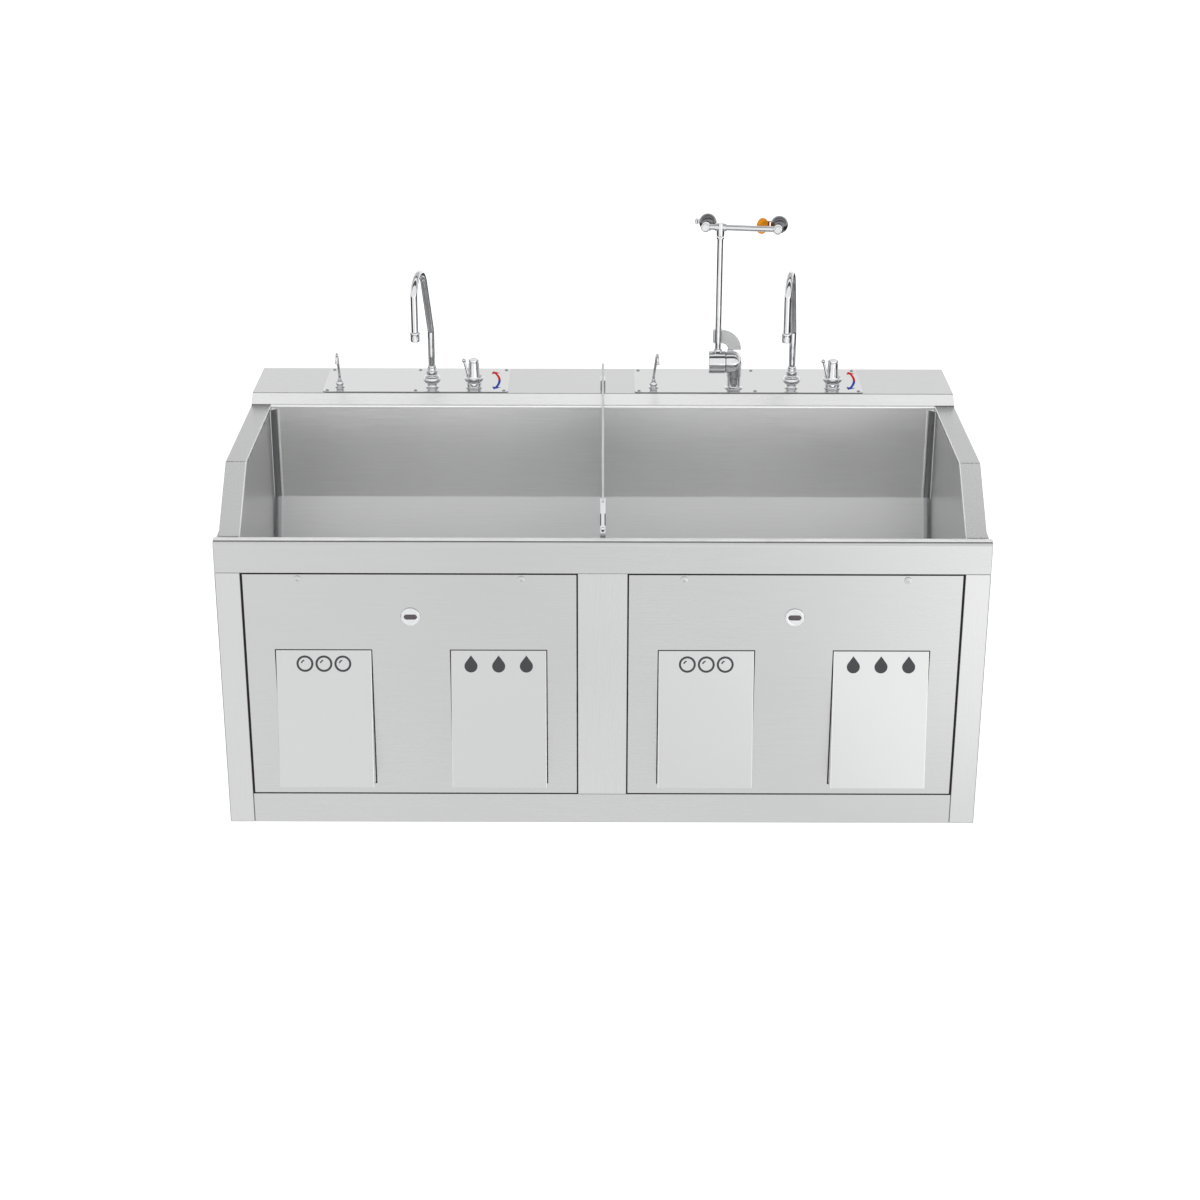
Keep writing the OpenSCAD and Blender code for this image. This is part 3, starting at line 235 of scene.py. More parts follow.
alongX, alongY, alongZ = 0, 1, 2
steelTone = (0.53, 0.532, 0.534)
uprightTone = (0.575, 0.577, 0.58)
looks = {
    "sheet": brushedSteel("brushed_across", steelTone, alongX, 0.25),
    "sheetUp": brushedSteel("brushed_upright", uprightTone, alongZ, 0.25),
    "sheetBack": brushedSteel("brushed_backwards", (0.425, 0.427, 0.43), alongY, 0.25),
    # lighter copy of the shields' steel, painted light on their slope
    "shieldSlopePaintedLight": brushedSteel("brushed_slope_painted_light", (0.61, 0.612, 0.615), alongY, 0.25),
    # lighter, painted light on the deck's sloped lip
    "lip": brushedSteel("brushed_lip_painted_light", (0.84, 0.842, 0.845), alongX, 0.25),
    # dark, a painted shade on the fold between deck and lip
    "fold": brushedSteel("painted_shade_fold", (0.22, 0.22, 0.225), alongX, 0.25, 0.5),
    # dark, a painted shade under the rim's roll
    "roll": brushedSteel("painted_shade_roll", (0.34, 0.342, 0.345), alongX, 0.3, 0.6),
    "plate": brushedSteel("brushed_plate", (0.56, 0.562, 0.565), alongX, 0.085, 0.6),
    # lighter, painted light on the basin's walls
    "trough": brushedSteel("brushed_trough_painted_light", (0.95, 0.95, 0.95), alongX, 0.33, 1.7),
    "slope": brushedSteel("brushed_slope", (0.55, 0.552, 0.555), alongX, 0.36, 1.7),
    # lighter, painted light on the basin's end walls
    "endWall": brushedSteel("brushed_end_painted_light", (0.68, 0.68, 0.68), alongY, 0.33, 1.2),
    # dark, a painted shade in the basin's coves
    "cove": brushedSteel("painted_shade_cove", (0.27, 0.27, 0.275), alongZ, 0.3, 0.8),
    "knee": brushedSteel("polished_knee", (0.56, 0.562, 0.565), alongZ, 0.2, 0.6),
    # dark, a painted shade on return faces, undersides and the plates' front faces
    "shadow": brushedSteel("painted_shade_edge", (0.26, 0.26, 0.265), alongZ, 0.3, 0.6),
    # bright, a painted highlight on the knee panels' flanges and the basin's lip foot
    "edge": brushedSteel("painted_highlight_edge", (0.93, 0.93, 0.93), alongY, 0.3, 0.4),
    "mill": brushedSteel("mill_steel", (0.50, 0.50, 0.51), alongX, 0.42, 1.6),
    # near black, a painted shade for the valve rail inside the cabinet
    "shaded": brushedSteel("painted_shade_rail", (0.11, 0.105, 0.10), alongX, 0.5, 1.6),
    "chrome": plating("chrome", (0.70, 0.705, 0.72), 0.045),
    "screw": plating("screw_steel", (0.42, 0.42, 0.43), 0.16, 0.1),
    "copper": plating("drawn_copper", (0.78, 0.40, 0.24), 0.24, 0.1),
    "brass": plating("cast_brass", (0.72, 0.55, 0.25), 0.3, 0.35),
    "lens": moulded("dark_lens", (0.035, 0.018, 0.028), 0.12, 300.0, 0.03, 1.0),
    "dome": plating("satin_nickel", (0.20, 0.20, 0.21), 0.2, 0.1),
    "housing": moulded("black_plastic", (0.03, 0.03, 0.033), 0.45),
    # dark rubber, used as painted shade in the gaps
    "seal": moulded("painted_shade_rubber", (0.022, 0.016, 0.014), 0.7, 600.0, 0.2),
    "pane": clearSheet("clear_pane", (0.93, 0.975, 0.97)),
    "paneEdge": moulded("ground_edge", (0.74, 0.77, 0.77), 0.35, 700.0, 0.08),
    "bottle": moulded("milky_bottle", (0.80, 0.82, 0.80), 0.4, 500.0, 0.15, clear=0.25),
    "line": moulded("grey_line", (0.42, 0.43, 0.45), 0.35),
    "cap": moulded("orange_cap", (0.96, 0.34, 0.005), 0.4, 700.0, 0.08, gloss=0.2),
    "strap": moulded("red_strap", (0.42, 0.03, 0.02), 0.4),
    "mark": moulded("dark_mark", (0.035, 0.037, 0.042), 0.5),
    "hot": moulded("red_mark", (0.72, 0.004, 0.008), 0.6, gloss=0.05),
    "cold": moulded("blue_mark", (0.004, 0.055, 0.50), 0.6, gloss=0.05),
    # white, a painted highlight on the rim's top and on the shields' beads and ribs
    "bead": moulded("painted_highlight_bead", (0.97, 0.97, 0.97), 0.25, 500.0, 0.02),
}
print("materials made")


# Making pieces
def settle(obj):
    # turns live modifiers into plain mesh
    graph = bpy.context.evaluated_depsgraph_get()
    graph.update()
    mesh = bpy.data.meshes.new_from_object(
        obj.evaluated_get(graph), preserve_all_data_layers=True, depsgraph=graph
    )
    obj.modifiers.clear()
    old = obj.data
    obj.data = mesh
    bpy.data.meshes.remove(old)
    mesh.name = obj.name


def addObject(name, bm):
    mesh = bpy.data.meshes.new(name)
    bm.to_mesh(mesh)
    bm.free()
    obj = bpy.data.objects.new(name, mesh)
    bpy.context.scene.collection.objects.link(obj)
    return obj


def roundEdges(obj, width, steps=2, limit=35):
    mod = obj.modifiers.new("edge", "BEVEL")
    mod.width = width * mm
    mod.segments = steps
    mod.limit_method = "ANGLE"
    mod.angle_limit = math.radians(limit)
    mod.use_clamp_overlap = False
    mod.miter_outer = "MITER_ARC"
    settle(obj)


def smooth(obj, crease=32, weighted=True):
    mesh = obj.data
    mesh.shade_smooth()
    mesh.set_sharp_from_angle(angle=math.radians(crease))
    if weighted:
        mod = obj.modifiers.new("normals", "WEIGHTED_NORMAL")
        mod.keep_sharp = True
        mod.weight = 80
        settle(obj)


def finishPiece(obj, look, body="cabinet", stands=()):
    obj.data.materials.clear()
    obj.data.materials.append(looks[look])
    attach(obj, body)
    if stands:
        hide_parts(*stands)
    return obj


def paintFaces(obj, lookOf):
    # faces of one piece that are finished differently
    names = [m.name for m in obj.data.materials]
    for face in obj.data.polygons:
        material = looks[lookOf(face)]
        if material.name not in names:
            obj.data.materials.append(material)
            names.append(material.name)
        face.material_index = names.index(material.name)


def faceOut(bm):
    bmesh.ops.recalc_face_normals(bm, faces=bm.faces)


def addPiece(name, bm, look, body="cabinet", stands=(), edge=0.0, crease=32, steps=2):
    faceOut(bm)
    obj = addObject(name, bm)
    if edge:
        roundEdges(obj, edge, steps)
    smooth(obj, crease)
    return finishPiece(obj, look, body, stands)


def dressSheet(obj, node, look, lookOf, crease=32):
    smooth(obj, crease)
    finishPiece(obj, look, "cabinet", [node])
    paintFaces(obj, lookOf)


def addPlated(name, bm, body, stands=(), crease=38, edge=0.0):
    return addPiece(name, bm, "chrome", body, stands, edge, crease)


# Copy of a CAD solid with its triangles merged back into faces
def copySolid(node):
    bm = bmesh.new()
    bm.from_mesh(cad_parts[node].data)
    bmesh.ops.remove_doubles(bm, verts=bm.verts, dist=0.002 * mm)
    bmesh.ops.dissolve_limit(bm, angle_limit=math.radians(0.6), verts=bm.verts, edges=bm.edges)
    return bm


# Closed solid from one outline in X, depth or height, run along a vector
def extrudeOutline(bm, points, run):
    low = [bm.verts.new(p) for p in points]
    high = [bm.verts.new(p + run) for p in points]
    bm.faces.new(low[::-1])
    bm.faces.new(high)
    for i in range(len(points)):
        j = (i + 1) % len(points)
        bm.faces.new((low[i], low[j], high[j], high[i]))


# Rows of points joined into quads
def skinRows(bm, rows, closedRows=False, closedLoop=False):
    made = [[bm.verts.new(p) for p in row] for row in rows]
    count = len(made)
    for i in range(count if closedLoop else count - 1):
        a, b = made[i], made[(i + 1) % count]
        size = len(a)
        for k in range(size if closedRows else size - 1):
            m = (k + 1) % size
            bm.faces.new((a[k], a[m], b[m], b[k]))
    return made


axisTurns = {
    "Z": Matrix.Identity(3), "X": Matrix.Rotation(math.radians(90), 3, "Y"),
    "Y": Matrix.Rotation(math.radians(-90), 3, "X"),
    "-Y": Matrix.Rotation(math.radians(90), 3, "X"),
}


# Round shape about an upright axis through a place, from (radius, height) points in mm
def lathe(bm, centre, profile, steps=48, axis="Z", radiusOf=None):
    turn = axis if isinstance(axis, Matrix) else axisTurns[axis]
    made = []
    for r, h in profile:
        row = []
        for k in range(steps if r > 0 else 1):
            a = 2 * math.pi * k / steps
            wide = radiusOf(a, r, h) if radiusOf else r
            point = Vector((wide * math.cos(a), wide * math.sin(a), h))
            row.append(bm.verts.new(centre + turn @ point * mm))
        made.append(row)
    for a, b in zip(made, made[1:]):
        for k in range(steps if len(a) + len(b) > 2 else 0):
            m = (k + 1) % steps
            if len(a) == 1:
                bm.faces.new((a[0], b[m], b[k]))
            elif len(b) == 1:
                bm.faces.new((a[k], a[m], b[0]))
            else:
                bm.faces.new((a[k], a[m], b[m], b[k]))
    if len(made[0]) > 1:
        bm.faces.new(made[0][::-1])
    if len(made[-1]) > 1:
        bm.faces.new(made[-1])


def arc(r, low, high, steps, centre=(0, 0)):
    return [(centre[0] + r * math.cos(math.radians(low + (high - low) * k / steps)),
             centre[1] + r * math.sin(math.radians(low + (high - low) * k / steps)))
            for k in range(steps + 1)]


# Rounded corner of a path in a plane or in space
def corner(p, q, s, r, steps):
    a, b = (p - q).normalized(), (s - q).normalized()
    half = math.acos(max(-1, min(1, a.dot(b)))) / 2
    if half > math.pi / 2 - 1e-4:
        return [q]
    reach = r / math.tan(half)
    centre = q + (a + b).normalized() * r / math.sin(half)
    start, end = q + a * reach - centre, q + b * reach - centre
    sweep = math.pi - 2 * half
    out = []
    for k in range(steps + 1):
        t = k / steps
        out.append(centre + start * (math.sin((1 - t) * sweep) / math.sin(sweep))
                   + end * (math.sin(t * sweep) / math.sin(sweep)))
    return out


def roundedPath(points, radii, steps=8):
    points = [Vector(p) for p in points]
    out = [points[0]]
    for i in range(1, len(points) - 1):
        r = radii[i - 1]
        out += corner(points[i - 1], points[i], points[i + 1], r, steps) if r > 0 else [points[i]]
    return out + [points[-1]]


def roundedRing(points, r, steps):
    points = [Vector(p) for p in points]
    out = []
    for i, p in enumerate(points):
        out += corner(points[i - 1], p, points[(i + 1) % len(points)], r, steps)
    return out


def roundedBox(x0, x1, y0, y1, r, steps=4):
    return roundedRing([(x0, y0), (x1, y0), (x1, y1), (x0, y1)], r, steps)


def shiftedPath(points, t):
    # offset to the left of the way along a path of (depth, height)
    points = [Vector(p) for p in points]
    out = []
    for i, p in enumerate(points):
        a = (points[i] - points[i - 1]).normalized() if i else (points[1] - points[0]).normalized()
        b = (points[i + 1] - p).normalized() if i < len(points) - 1 else a
        left = Vector((-a.y, a.x))
        middle = (left + Vector((-b.y, b.x))).normalized()
        out.append(p + middle * t / middle.dot(left))
    return out


def sheetSection(path, t):
    return list(path) + shiftedPath(path, t)[::-1]


def across(x, section):
    return [at(x, p[0], p[1]) for p in section]


def runAcross(bm, section, x0, x1):
    extrudeOutline(bm, across(x0, section), Vector(((x1 - x0) * mm, 0, 0)))


# Sheet metal: its thickness goes inwards from the face side
def thicken(obj, thickness, even=False):
    mod = obj.modifiers.new("wall", "SOLIDIFY")
    mod.thickness = thickness * mm
    mod.offset = -1
    mod.use_even_offset = even
    settle(obj)


def faceToward(bm, face, way):
    faceOut(bm)
    if face(bm).normal.dot(Vector(way)) < 0:
        bmesh.ops.reverse_faces(bm, faces=bm.faces)


def drill(obj, places, steps=40):
    bm = bmesh.new()
    for centre, r, low, high in places:
        lathe(bm, centre, [(r, low), (r, high)], steps)
    cutter = addObject("drill", bm)
    cut = obj.modifiers.new("holes", "BOOLEAN")
    cut.operation = "DIFFERENCE"
    cut.object = cutter
    cut.solver = "EXACT"
    settle(obj)
    bpy.data.objects.remove(cutter)


# Geometry Nodes: trees with named inputs that end in plain, finished geometry
def startTree(name, inputs, result):
    tree = bpy.data.node_groups.new(name, "GeometryNodeTree")
    for label, kind in inputs.items():
        tree.interface.new_socket(label, in_out="INPUT", socket_type="NodeSocket" + kind)
    tree.interface.new_socket(result, in_out="OUTPUT", socket_type="NodeSocketGeometry")
    return tree, addNode(tree, "NodeGroupInput").outputs


def endTree(tree, given, geometry, result):
    real = addNode(tree, "GeometryNodeRealizeInstances", {"Geometry": geometry})
    finish = addNode(tree, "GeometryNodeSetMaterial",
                     {"Geometry": real.outputs["Geometry"], "Material": given["Finish"]})
    addNode(tree, "NodeGroupOutput", {result: finish.outputs["Geometry"]})
    return tree


def tubeTree():
    # a tube along a path
    tree, given = startTree("tubeAlongPath", {
        "Path": "Geometry", "Radius": "Float", "Sides": "Int", "Finish": "Material"}, "Tube")
    curve = addNode(tree, "GeometryNodeMeshToCurve", {"Mesh": given["Path"]})
    ring = addNode(tree, "GeometryNodeCurvePrimitiveCircle",
                   {"Resolution": given["Sides"], "Radius": given["Radius"]})
    tube = addNode(tree, "GeometryNodeCurveToMesh", {
        "Curve": curve.outputs["Curve"], "Profile Curve": ring.outputs["Curve"], "Fill Caps": True})
    return endTree(tree, given, tube.outputs["Mesh"], "Tube")


button = {"rounds": 40, "rings": 24, "domeWidth": 1.3, "domeHeight": 0.999}


def screwTree():
    # a button head with a hexagon socket on every point
    tree, given = startTree("buttonHeads", {
        "Places": "Geometry", "Head Radius": "Float", "Head Height": "Float",
        "Socket Radius": "Float", "Turn": "Vector", "Finish": "Material"}, "Heads")
    radius, height = given["Head Radius"], given["Head Height"]

    def times(value, factor):
        return arithmetic(tree, "MULTIPLY", value, factor)

    def changed(mesh, key, x, y, z):
        vector = addNode(tree, "ShaderNodeCombineXYZ", {"X": x, "Y": y, "Z": z})
        return addNode(tree, "GeometryNodeTransform", {
            "Geometry": mesh.outputs["Mesh"], key: vector.outputs["Vector"]}).outputs["Geometry"]

    rod = addNode(tree, "GeometryNodeMeshCylinder",
                  {"Vertices": button["rounds"], "Radius": radius, "Depth": height})
    ball = addNode(tree, "GeometryNodeMeshUVSphere", {
        "Segments": button["rounds"], "Rings": button["rings"], "Radius": 1.0})
    head = addNode(tree, "GeometryNodeMeshBoolean", operation="INTERSECT")
    tree.links.new(changed(rod, "Translation", 0.0, 0.0, times(height, 0.5)), head.inputs["Mesh 2"])
    wide, tall = times(radius, button["domeWidth"]), times(height, button["domeHeight"])
    tree.links.new(changed(ball, "Scale", wide, wide, tall), head.inputs["Mesh 2"])
    key = addNode(tree, "GeometryNodeMeshCylinder",
                  {"Vertices": 6, "Radius": given["Socket Radius"], "Depth": height})
    cut = addNode(tree, "GeometryNodeMeshBoolean", {
        "Mesh 1": head.outputs["Mesh"], "Mesh 2": changed(key, "Translation", 0.0, 0.0, height),
    }, operation="DIFFERENCE")
    placed = addNode(tree, "GeometryNodeInstanceOnPoints", {
        "Points": given["Places"], "Instance": cut.outputs["Mesh"], "Rotation": given["Turn"]})
    return endTree(tree, given, placed.outputs["Instances"], "Heads")


trees = {"tube": tubeTree(), "screw": screwTree()}


def growNodes(name, bm, tree, values, look):
    # one object, its tree's inputs set by identifier, then baked to a plain mesh
    obj = addObject(name, bm)
    mod = obj.modifiers.new("grow", "NODES")
    mod.node_group = trees[tree]
    named = {s.name: s.identifier for s in trees[tree].interface.items_tree if s.in_out == "INPUT"}
    for key, value in values.items():
        mod[named[key]] = value
    mod[named["Finish"]] = looks[look]
    settle(obj)
    return obj


def merged(objects):
    # several plain objects as one mesh
    bm = bmesh.new()
    for obj in objects:
        bm.from_mesh(obj.data)
        old = obj.data
        bpy.data.objects.remove(obj)
        bpy.data.meshes.remove(old)
    return bm


def tubeObject(path, radius, look="chrome", sides=32):
    bm = bmesh.new()
    verts = [bm.verts.new(p) for p in path]
    for a, b in zip(verts, verts[1:]):
        bm.edges.new((a, b))
    return growNodes("run", bm, "tube", {"Radius": radius * mm, "Sides": sides}, look)


def screwHeads(name, places, size, turn, stands, look="screw"):
    bm = bmesh.new()
    for p in places:
        bm.verts.new(p)
    obj = growNodes(name, bm, "screw", {
        "Head Radius": size["radius"] * mm, "Head Height": size["height"] * mm,
        "Socket Radius": size["socket"] * mm, "Turn": turn,
    }, look)
    smooth(obj, 28, weighted=False)
    return finishPiece(obj, look, "cabinet", stands)


# Front apron: rolled rim, band, return and hem, closed at both ends
apron = {"rimDepth": 26, "lowerEdge": 568, "tail": 606, "returnDepth": 18, "hem": 540, "roll": 12.5,
         "foldRound": 1.6, "paintedHighlightUp": 0.78, "paintedShadeUp": 0.6, "sheetUp": 0.08, "slopeBack": 0.45}


def makeApron():
    a = apron
    path = roundedPath(
        [(a["rimDepth"], a["tail"]), (a["rimDepth"], cabinet["rimHeight"]),
         (0, cabinet["rimHeight"]), (0, a["lowerEdge"]), (a["returnDepth"], a["lowerEdge"]),
         (a["returnDepth"], a["hem"])],
        [a["roll"], a["roll"], a["foldRound"], 0], steps=14)
    bm = bmesh.new()
    sides = skinRows(bm, [across(-halfWidth, path), across(halfWidth, path)])
    for row, x in zip(sides, (-halfWidth, halfWidth)):
        top = [v for v, p in zip(row, path) if p.y >= a["lowerEdge"] - 0.01]
        bm.faces.new(top + [bm.verts.new(at(x, a["rimDepth"], a["lowerEdge"]))])
    faceToward(bm, lambda skin: max(skin.faces, key=lambda f: f.calc_area()), (0, -1, 0))
    obj = addObject("front_apron_skin", bm)
    thicken(obj, cabinet["sheet"], even=True)
    roundEdges(obj, a["foldRound"], steps=3, limit=50)
    rollHeight = at(0, 0, cabinet["rimHeight"] - a["roll"] - 1).z

    # On the rolled rim, the faces that look up get a white painted highlight and the steeper faces
    # below them a dark painted shade.
    def part(face):
        up = face.normal.z
        if face.center.z < rollHeight or up < a["sheetUp"]:
            return "sheet"
        if face.normal.y > a["slopeBack"]:
            return "slope"
        return "bead" if up > a["paintedHighlightUp"] else "roll" if up > a["paintedShadeUp"] else "sheet"

    dressSheet(obj, "front_apron", "sheet", part, 40)


makeApron()

# Basin: one trough with coved ends, a sloped floor and the foot of the deck's lip
basin = {"backDepth": 572, "backBend": 527, "floor": 342, "floorRise": 10, "drainDepth": 270,
         "floorFlat": 60, "frontDepth": 28, "frontBend": 447, "frontSlope": 0.364,
         "backSlope": 0.4245, "bends": (24, 28, 200, 200, 30, 12), "top": 620, "cove": 16,
         "coveSteps": 10, "drainHole": 43.5, "deckFront": 600, "lipRound": 6, "seamRun": 3,
         "coveTurn": 0.12, "endTurn": 0.97, "slopeUp": (0.1, 0.8)}
shieldEdge = {"slopeTop": 193, "slopeFoot": 51, "return": 8, "bead": 1.3, "beadOut": 0.6,
              "beadSunk": 0.5, "rib": 2.4, "ribSunk": 1.3, "ribFoot": 400, "topRounds": [6, 5],
              "clear": 0.3, "thinner": 0.2, "underDeck": 2.3, "outerDrop": 20, "edge": 1.5,
              "slopeUp": (0.6, 0.9)}
lipStart = cabinet["shieldHeight"] - shieldEdge["return"]
lipFoot = Vector((basin["backDepth"], cabinet["shieldHeight"]))
deckCorner = Vector((basin["deckFront"], cabinet["deckHeight"]))
lipSeam = lipFoot.lerp(deckCorner, basin["seamRun"] / (basin["deckFront"] - basin["backDepth"]))


def troughSection(inset):
    b = basin
    edge = b["floor"] + b["floorRise"]
    corners = [
        (b["frontDepth"], b["top"]), (b["frontDepth"], b["frontBend"]),
        (b["frontDepth"] + (b["frontBend"] - edge) * b["frontSlope"], edge),
        (b["drainDepth"] - b["floorFlat"], b["floor"]),
        (b["drainDepth"] + b["floorFlat"], b["floor"]),
        (b["backDepth"] - (b["backBend"] - edge) * b["backSlope"], edge),
        (b["backDepth"], b["backBend"]), (b["backDepth"], lipStart),
    ]
    return roundedPath(shiftedPath(corners, inset), [max(r - inset, 1.0) for r in b["bends"]])


def makeBasin():
    b = basin
    bm = bmesh.new()
    steps = b["coveSteps"]
    rows = []
    for side in (-1, 1):
        part = []
        for k in range(steps + 1):
            a = math.pi / 2 * k / steps
            part.append((side * (basinSide - b["cove"] + b["cove"] * math.sin(a)),
                         b["cove"] * (1 - math.cos(a))))
        rows += part[::-1] if side < 0 else part
    strips = skinRows(bm, [across(x, troughSection(inset)) for x, inset in rows])
    # end walls up to the shields' return, and the little flats over the coves
    for side, edgeRow in ((-1, strips[0]), (1, strips[-1])):
        x = side * basinSide
        cornerBack, *above, cornerFront = [bm.verts.new(at(x, d, h)) for d, h in (
            (b["backDepth"], lipStart), (shieldEdge["slopeTop"], lipStart),
            (shieldEdge["slopeFoot"], b["top"]), (b["frontDepth"], b["top"]))]
        bm.faces.new(edgeRow + [cornerBack] + above + [cornerFront])
        part = strips[:steps + 1] if side < 0 else strips[-steps - 1:]
        bm.faces.new([row[-1] for row in part] + [cornerBack])
        bm.faces.new([row[0] for row in part] + [cornerFront])
    lip = roundedPath([(b["backDepth"], lipStart), lipFoot, lipSeam], [b["lipRound"]], steps=10)
    skinRows(bm, [across(-basinSide, lip), across(basinSide, lip)])
    bmesh.ops.remove_doubles(bm, verts=bm.verts, dist=0.02 * mm)
    faceToward(bm, lambda skin: max((f for f in skin.faces if abs(f.normal.z) > 0.9),
                                    key=lambda f: f.calc_area()), (0, 0, 1))
    obj = addObject("trough", bm)
    thicken(obj, cabinet["sheet"])
    drill(obj, [(at(0, b["drainDepth"], b["floor"]), b["drainHole"], -12, 12)], 64)
    bendHeight = at(0, 0, b["backBend"]).z
    coveDepth = at(0, b["backDepth"] - b["cove"], 0).y
    foldHeight = at(0, 0, lipStart).z

    # The basin's faces get tones by how they lie: a painted highlight on the lip's foot, painted
    # shade in the coves, and lighter tones as painted light on the trough walls and end walls. The
    # sloped floor keeps about the cabinet sheets' tone.
    def part(face):
        steep = abs(face.normal.x)
        if face.center.z > foldHeight:
            return "edge"
        if face.center.y > coveDepth - 0.2 and b["coveTurn"] < steep < b["endTurn"]:
            return "cove"
        if steep > b["endTurn"]:
            return "endWall"
        low, high = b["slopeUp"]
        return "slope" if face.center.z < bendHeight and low < face.normal.z < high else "trough"

    dressSheet(obj, "basin", "trough", part, 34)


makeBasin()
print("apron and basin made")

# Deck with its sloped lip
deck = {"edge": 0.5, "frontRound": 4.0, "lipUp": 0.7, "foldUp": 0.82, "flatUp": 0.988}

fittings = {"faucets": (-384, 424), "knobs": (-290, 516), "soaps": (-592, 114), "eyewash": (294,),
            "shanks": {"faucets": 9.5, "knobs": 12, "soaps": 6, "eyewash": 13}, "clear": 0.5}


def shankHoles(low, high):
    # holes with clearance for the fittings' shanks between two places across
    return [(onLine(x, cabinet["deckHeight"]), r + fittings["clear"], -8, 8)
            for kind, r in fittings["shanks"].items() for x in fittings[kind] if low < x < high]


def makeDeck():
    path = roundedPath([(cabinet["depth"], cabinet["deckHeight"]), deckCorner, lipSeam],
                       [deck["frontRound"]], steps=10)
    bm = bmesh.new()
    runAcross(bm, sheetSection(path, cabinet["sheet"]), -shieldSide, shieldSide)
    faceOut(bm)
    obj = addObject("rear_deck", bm)
    drill(obj, shankHoles(-halfWidth, halfWidth))
    roundEdges(obj, deck["edge"])

    # The lip's faces get a lighter tone as painted light, and the fold between deck and lip gets a
    # dark painted shade.
    def part(face):
        up = face.normal.z
        if up >= deck["foldUp"]:
            return "fold" if up < deck["flatUp"] else "sheet"
        return "lip" if up > deck["lipUp"] else "sheet"

    dressSheet(obj, "deck", "sheet", part)


makeDeck()


# Splash shields: folded top along the slope, outer wall, and a short turned-down inner edge
def makeShield(name, side):
    e = shieldEdge
    top = roundedPath([
        lipFoot, (e["slopeTop"], cabinet["shieldHeight"]), (e["slopeFoot"], cabinet["ledgeHeight"]),
        (apron["rimDepth"], cabinet["ledgeHeight"])], e["topRounds"])
    bm = bmesh.new()
    down = [Vector((p.x, p.y - e["return"])) for p in top]
    inner, outer = side * (basinSide - e["clear"]), side * shieldSide
    made = skinRows(bm, [across(inner, down), across(inner, top), across(outer, top)])
    under = cabinet["deckHeight"] - e["underDeck"]
    foot = cabinet["ledgeHeight"] - e["outerDrop"]
    edge = roundedPath([lipFoot, (basin["deckFront"], under), (cabinet["depth"], under)], [3], 6)
    edge = edge[1:] + [(cabinet["depth"] - 2, foot), (apron["rimDepth"], foot)]
    bm.faces.new(made[2] + [bm.verts.new(p) for p in across(outer, edge)][::-1])
    faceToward(bm, lambda skin: next(f for f in skin.faces if abs(f.normal.z) > 0.99), (0, 0, 1))
    obj = addObject(name, bm)
    thicken(obj, cabinet["sheet"] - e["thinner"])
    roundEdges(obj, e["edge"], steps=3, limit=50)
    # The sloped faces of the shield's top get a lighter tone than the rest, as painted light.
    low, high = e["slopeUp"]
    dressSheet(obj, ("left" if side < 0 else "right") + "_side_shield", "sheetBack",
               lambda face: "shieldSlopePaintedLight" if low < face.normal.z < high else "sheetBack", 40)
    # White beads along the top's inner edge and ribs along the coves' edges, as painted highlight
    # lines.
    runs = [tubeObject([at(side * (basinSide + e["beadOut"]), p.x, p.y - e["beadSunk"])
                        for p in top], e["bead"], "bead", 16)]
    sunk = e["ribSunk"]
    for x, inset in ((basinSide - basin["cove"], -sunk), (basinSide + sunk, basin["cove"])):
        wall = [p for p in troughSection(inset)
                if p.x > basin["drainDepth"] + basin["floorFlat"] and p.y > e["ribFoot"]]
        runs.append(tubeObject(across(side * x, wall), e["rib"], "bead", 20))
    addPiece(name + "_painted_highlight_beads", merged(runs), "bead", "cabinet", crease=50)


makeShield("left_shield", -1)
makeShield("right_shield", 1)

# Flat sheets that keep their CAD outline and get real edges and folds
# turns beyond which faces get a painted shade (frame, plate) or a painted highlight (knee)
paintedLightTurn = {"frame": 0.3, "knee": 0.15, "plate": 0.5}
sheets = [
    ("left_end_panel", "sheetBack", 0.6), ("right_end_panel", "sheetBack", 0.6),
    ("left_stile", "sheetUp", 1.3), ("right_stile", "sheetUp", 1.3),
    ("centre_stile", "sheetUp", 0.9), ("bottom_rail", "sheet", 1.3),
    ("left_access_panel", "sheet", 0.8), ("right_access_panel", "sheet", 0.8),
    # the valve rail is near black, a painted shade inside the cabinet
    ("back_panel", "mill", 0.5), ("valve_rail", "shaded", 0.6),
]


def softened(node, look, width, body="cabinet"):
    obj = addObject(node + "_dressed", copySolid(node))
    roundEdges(obj, width)
    smooth(obj)
    return finishPiece(obj, look, body, [node])


for node, look, width in sheets:
    piece = softened(node, look, width, "cabinet")
    # The stiles' and rail's return faces and undersides get a dark painted shade.
    if node.endswith(("stile", "rail")):
        paintFaces(piece, lambda face: "shadow" if abs(face.normal.x) > paintedLightTurn["frame"]
                   or face.normal.z < -paintedLightTurn["frame"] else look)

knees = {"left_soap": -573.5, "left_water": -213.7, "right_soap": 213.7, "right_water": 573.5}
for label in knees:
    panel = softened(label + "_panel", "knee", 0.9, label + "_knee")
    # The knee panels' side flanges get a bright painted highlight.
    paintFaces(panel, lambda face: "edge" if abs(face.normal.x) > paintedLightTurn["knee"] else "knee")
print("sheets made")

# Dark rubber seals in the gaps round the access panels, there as painted shade in the gaps
seal = {"gap": 2.5, "outerGap": 4, "clear": 0.15, "front": 3.2, "back": 12, "round": 0.8,
        "opening": 736, "centre": 50.8, "railTop": 67}


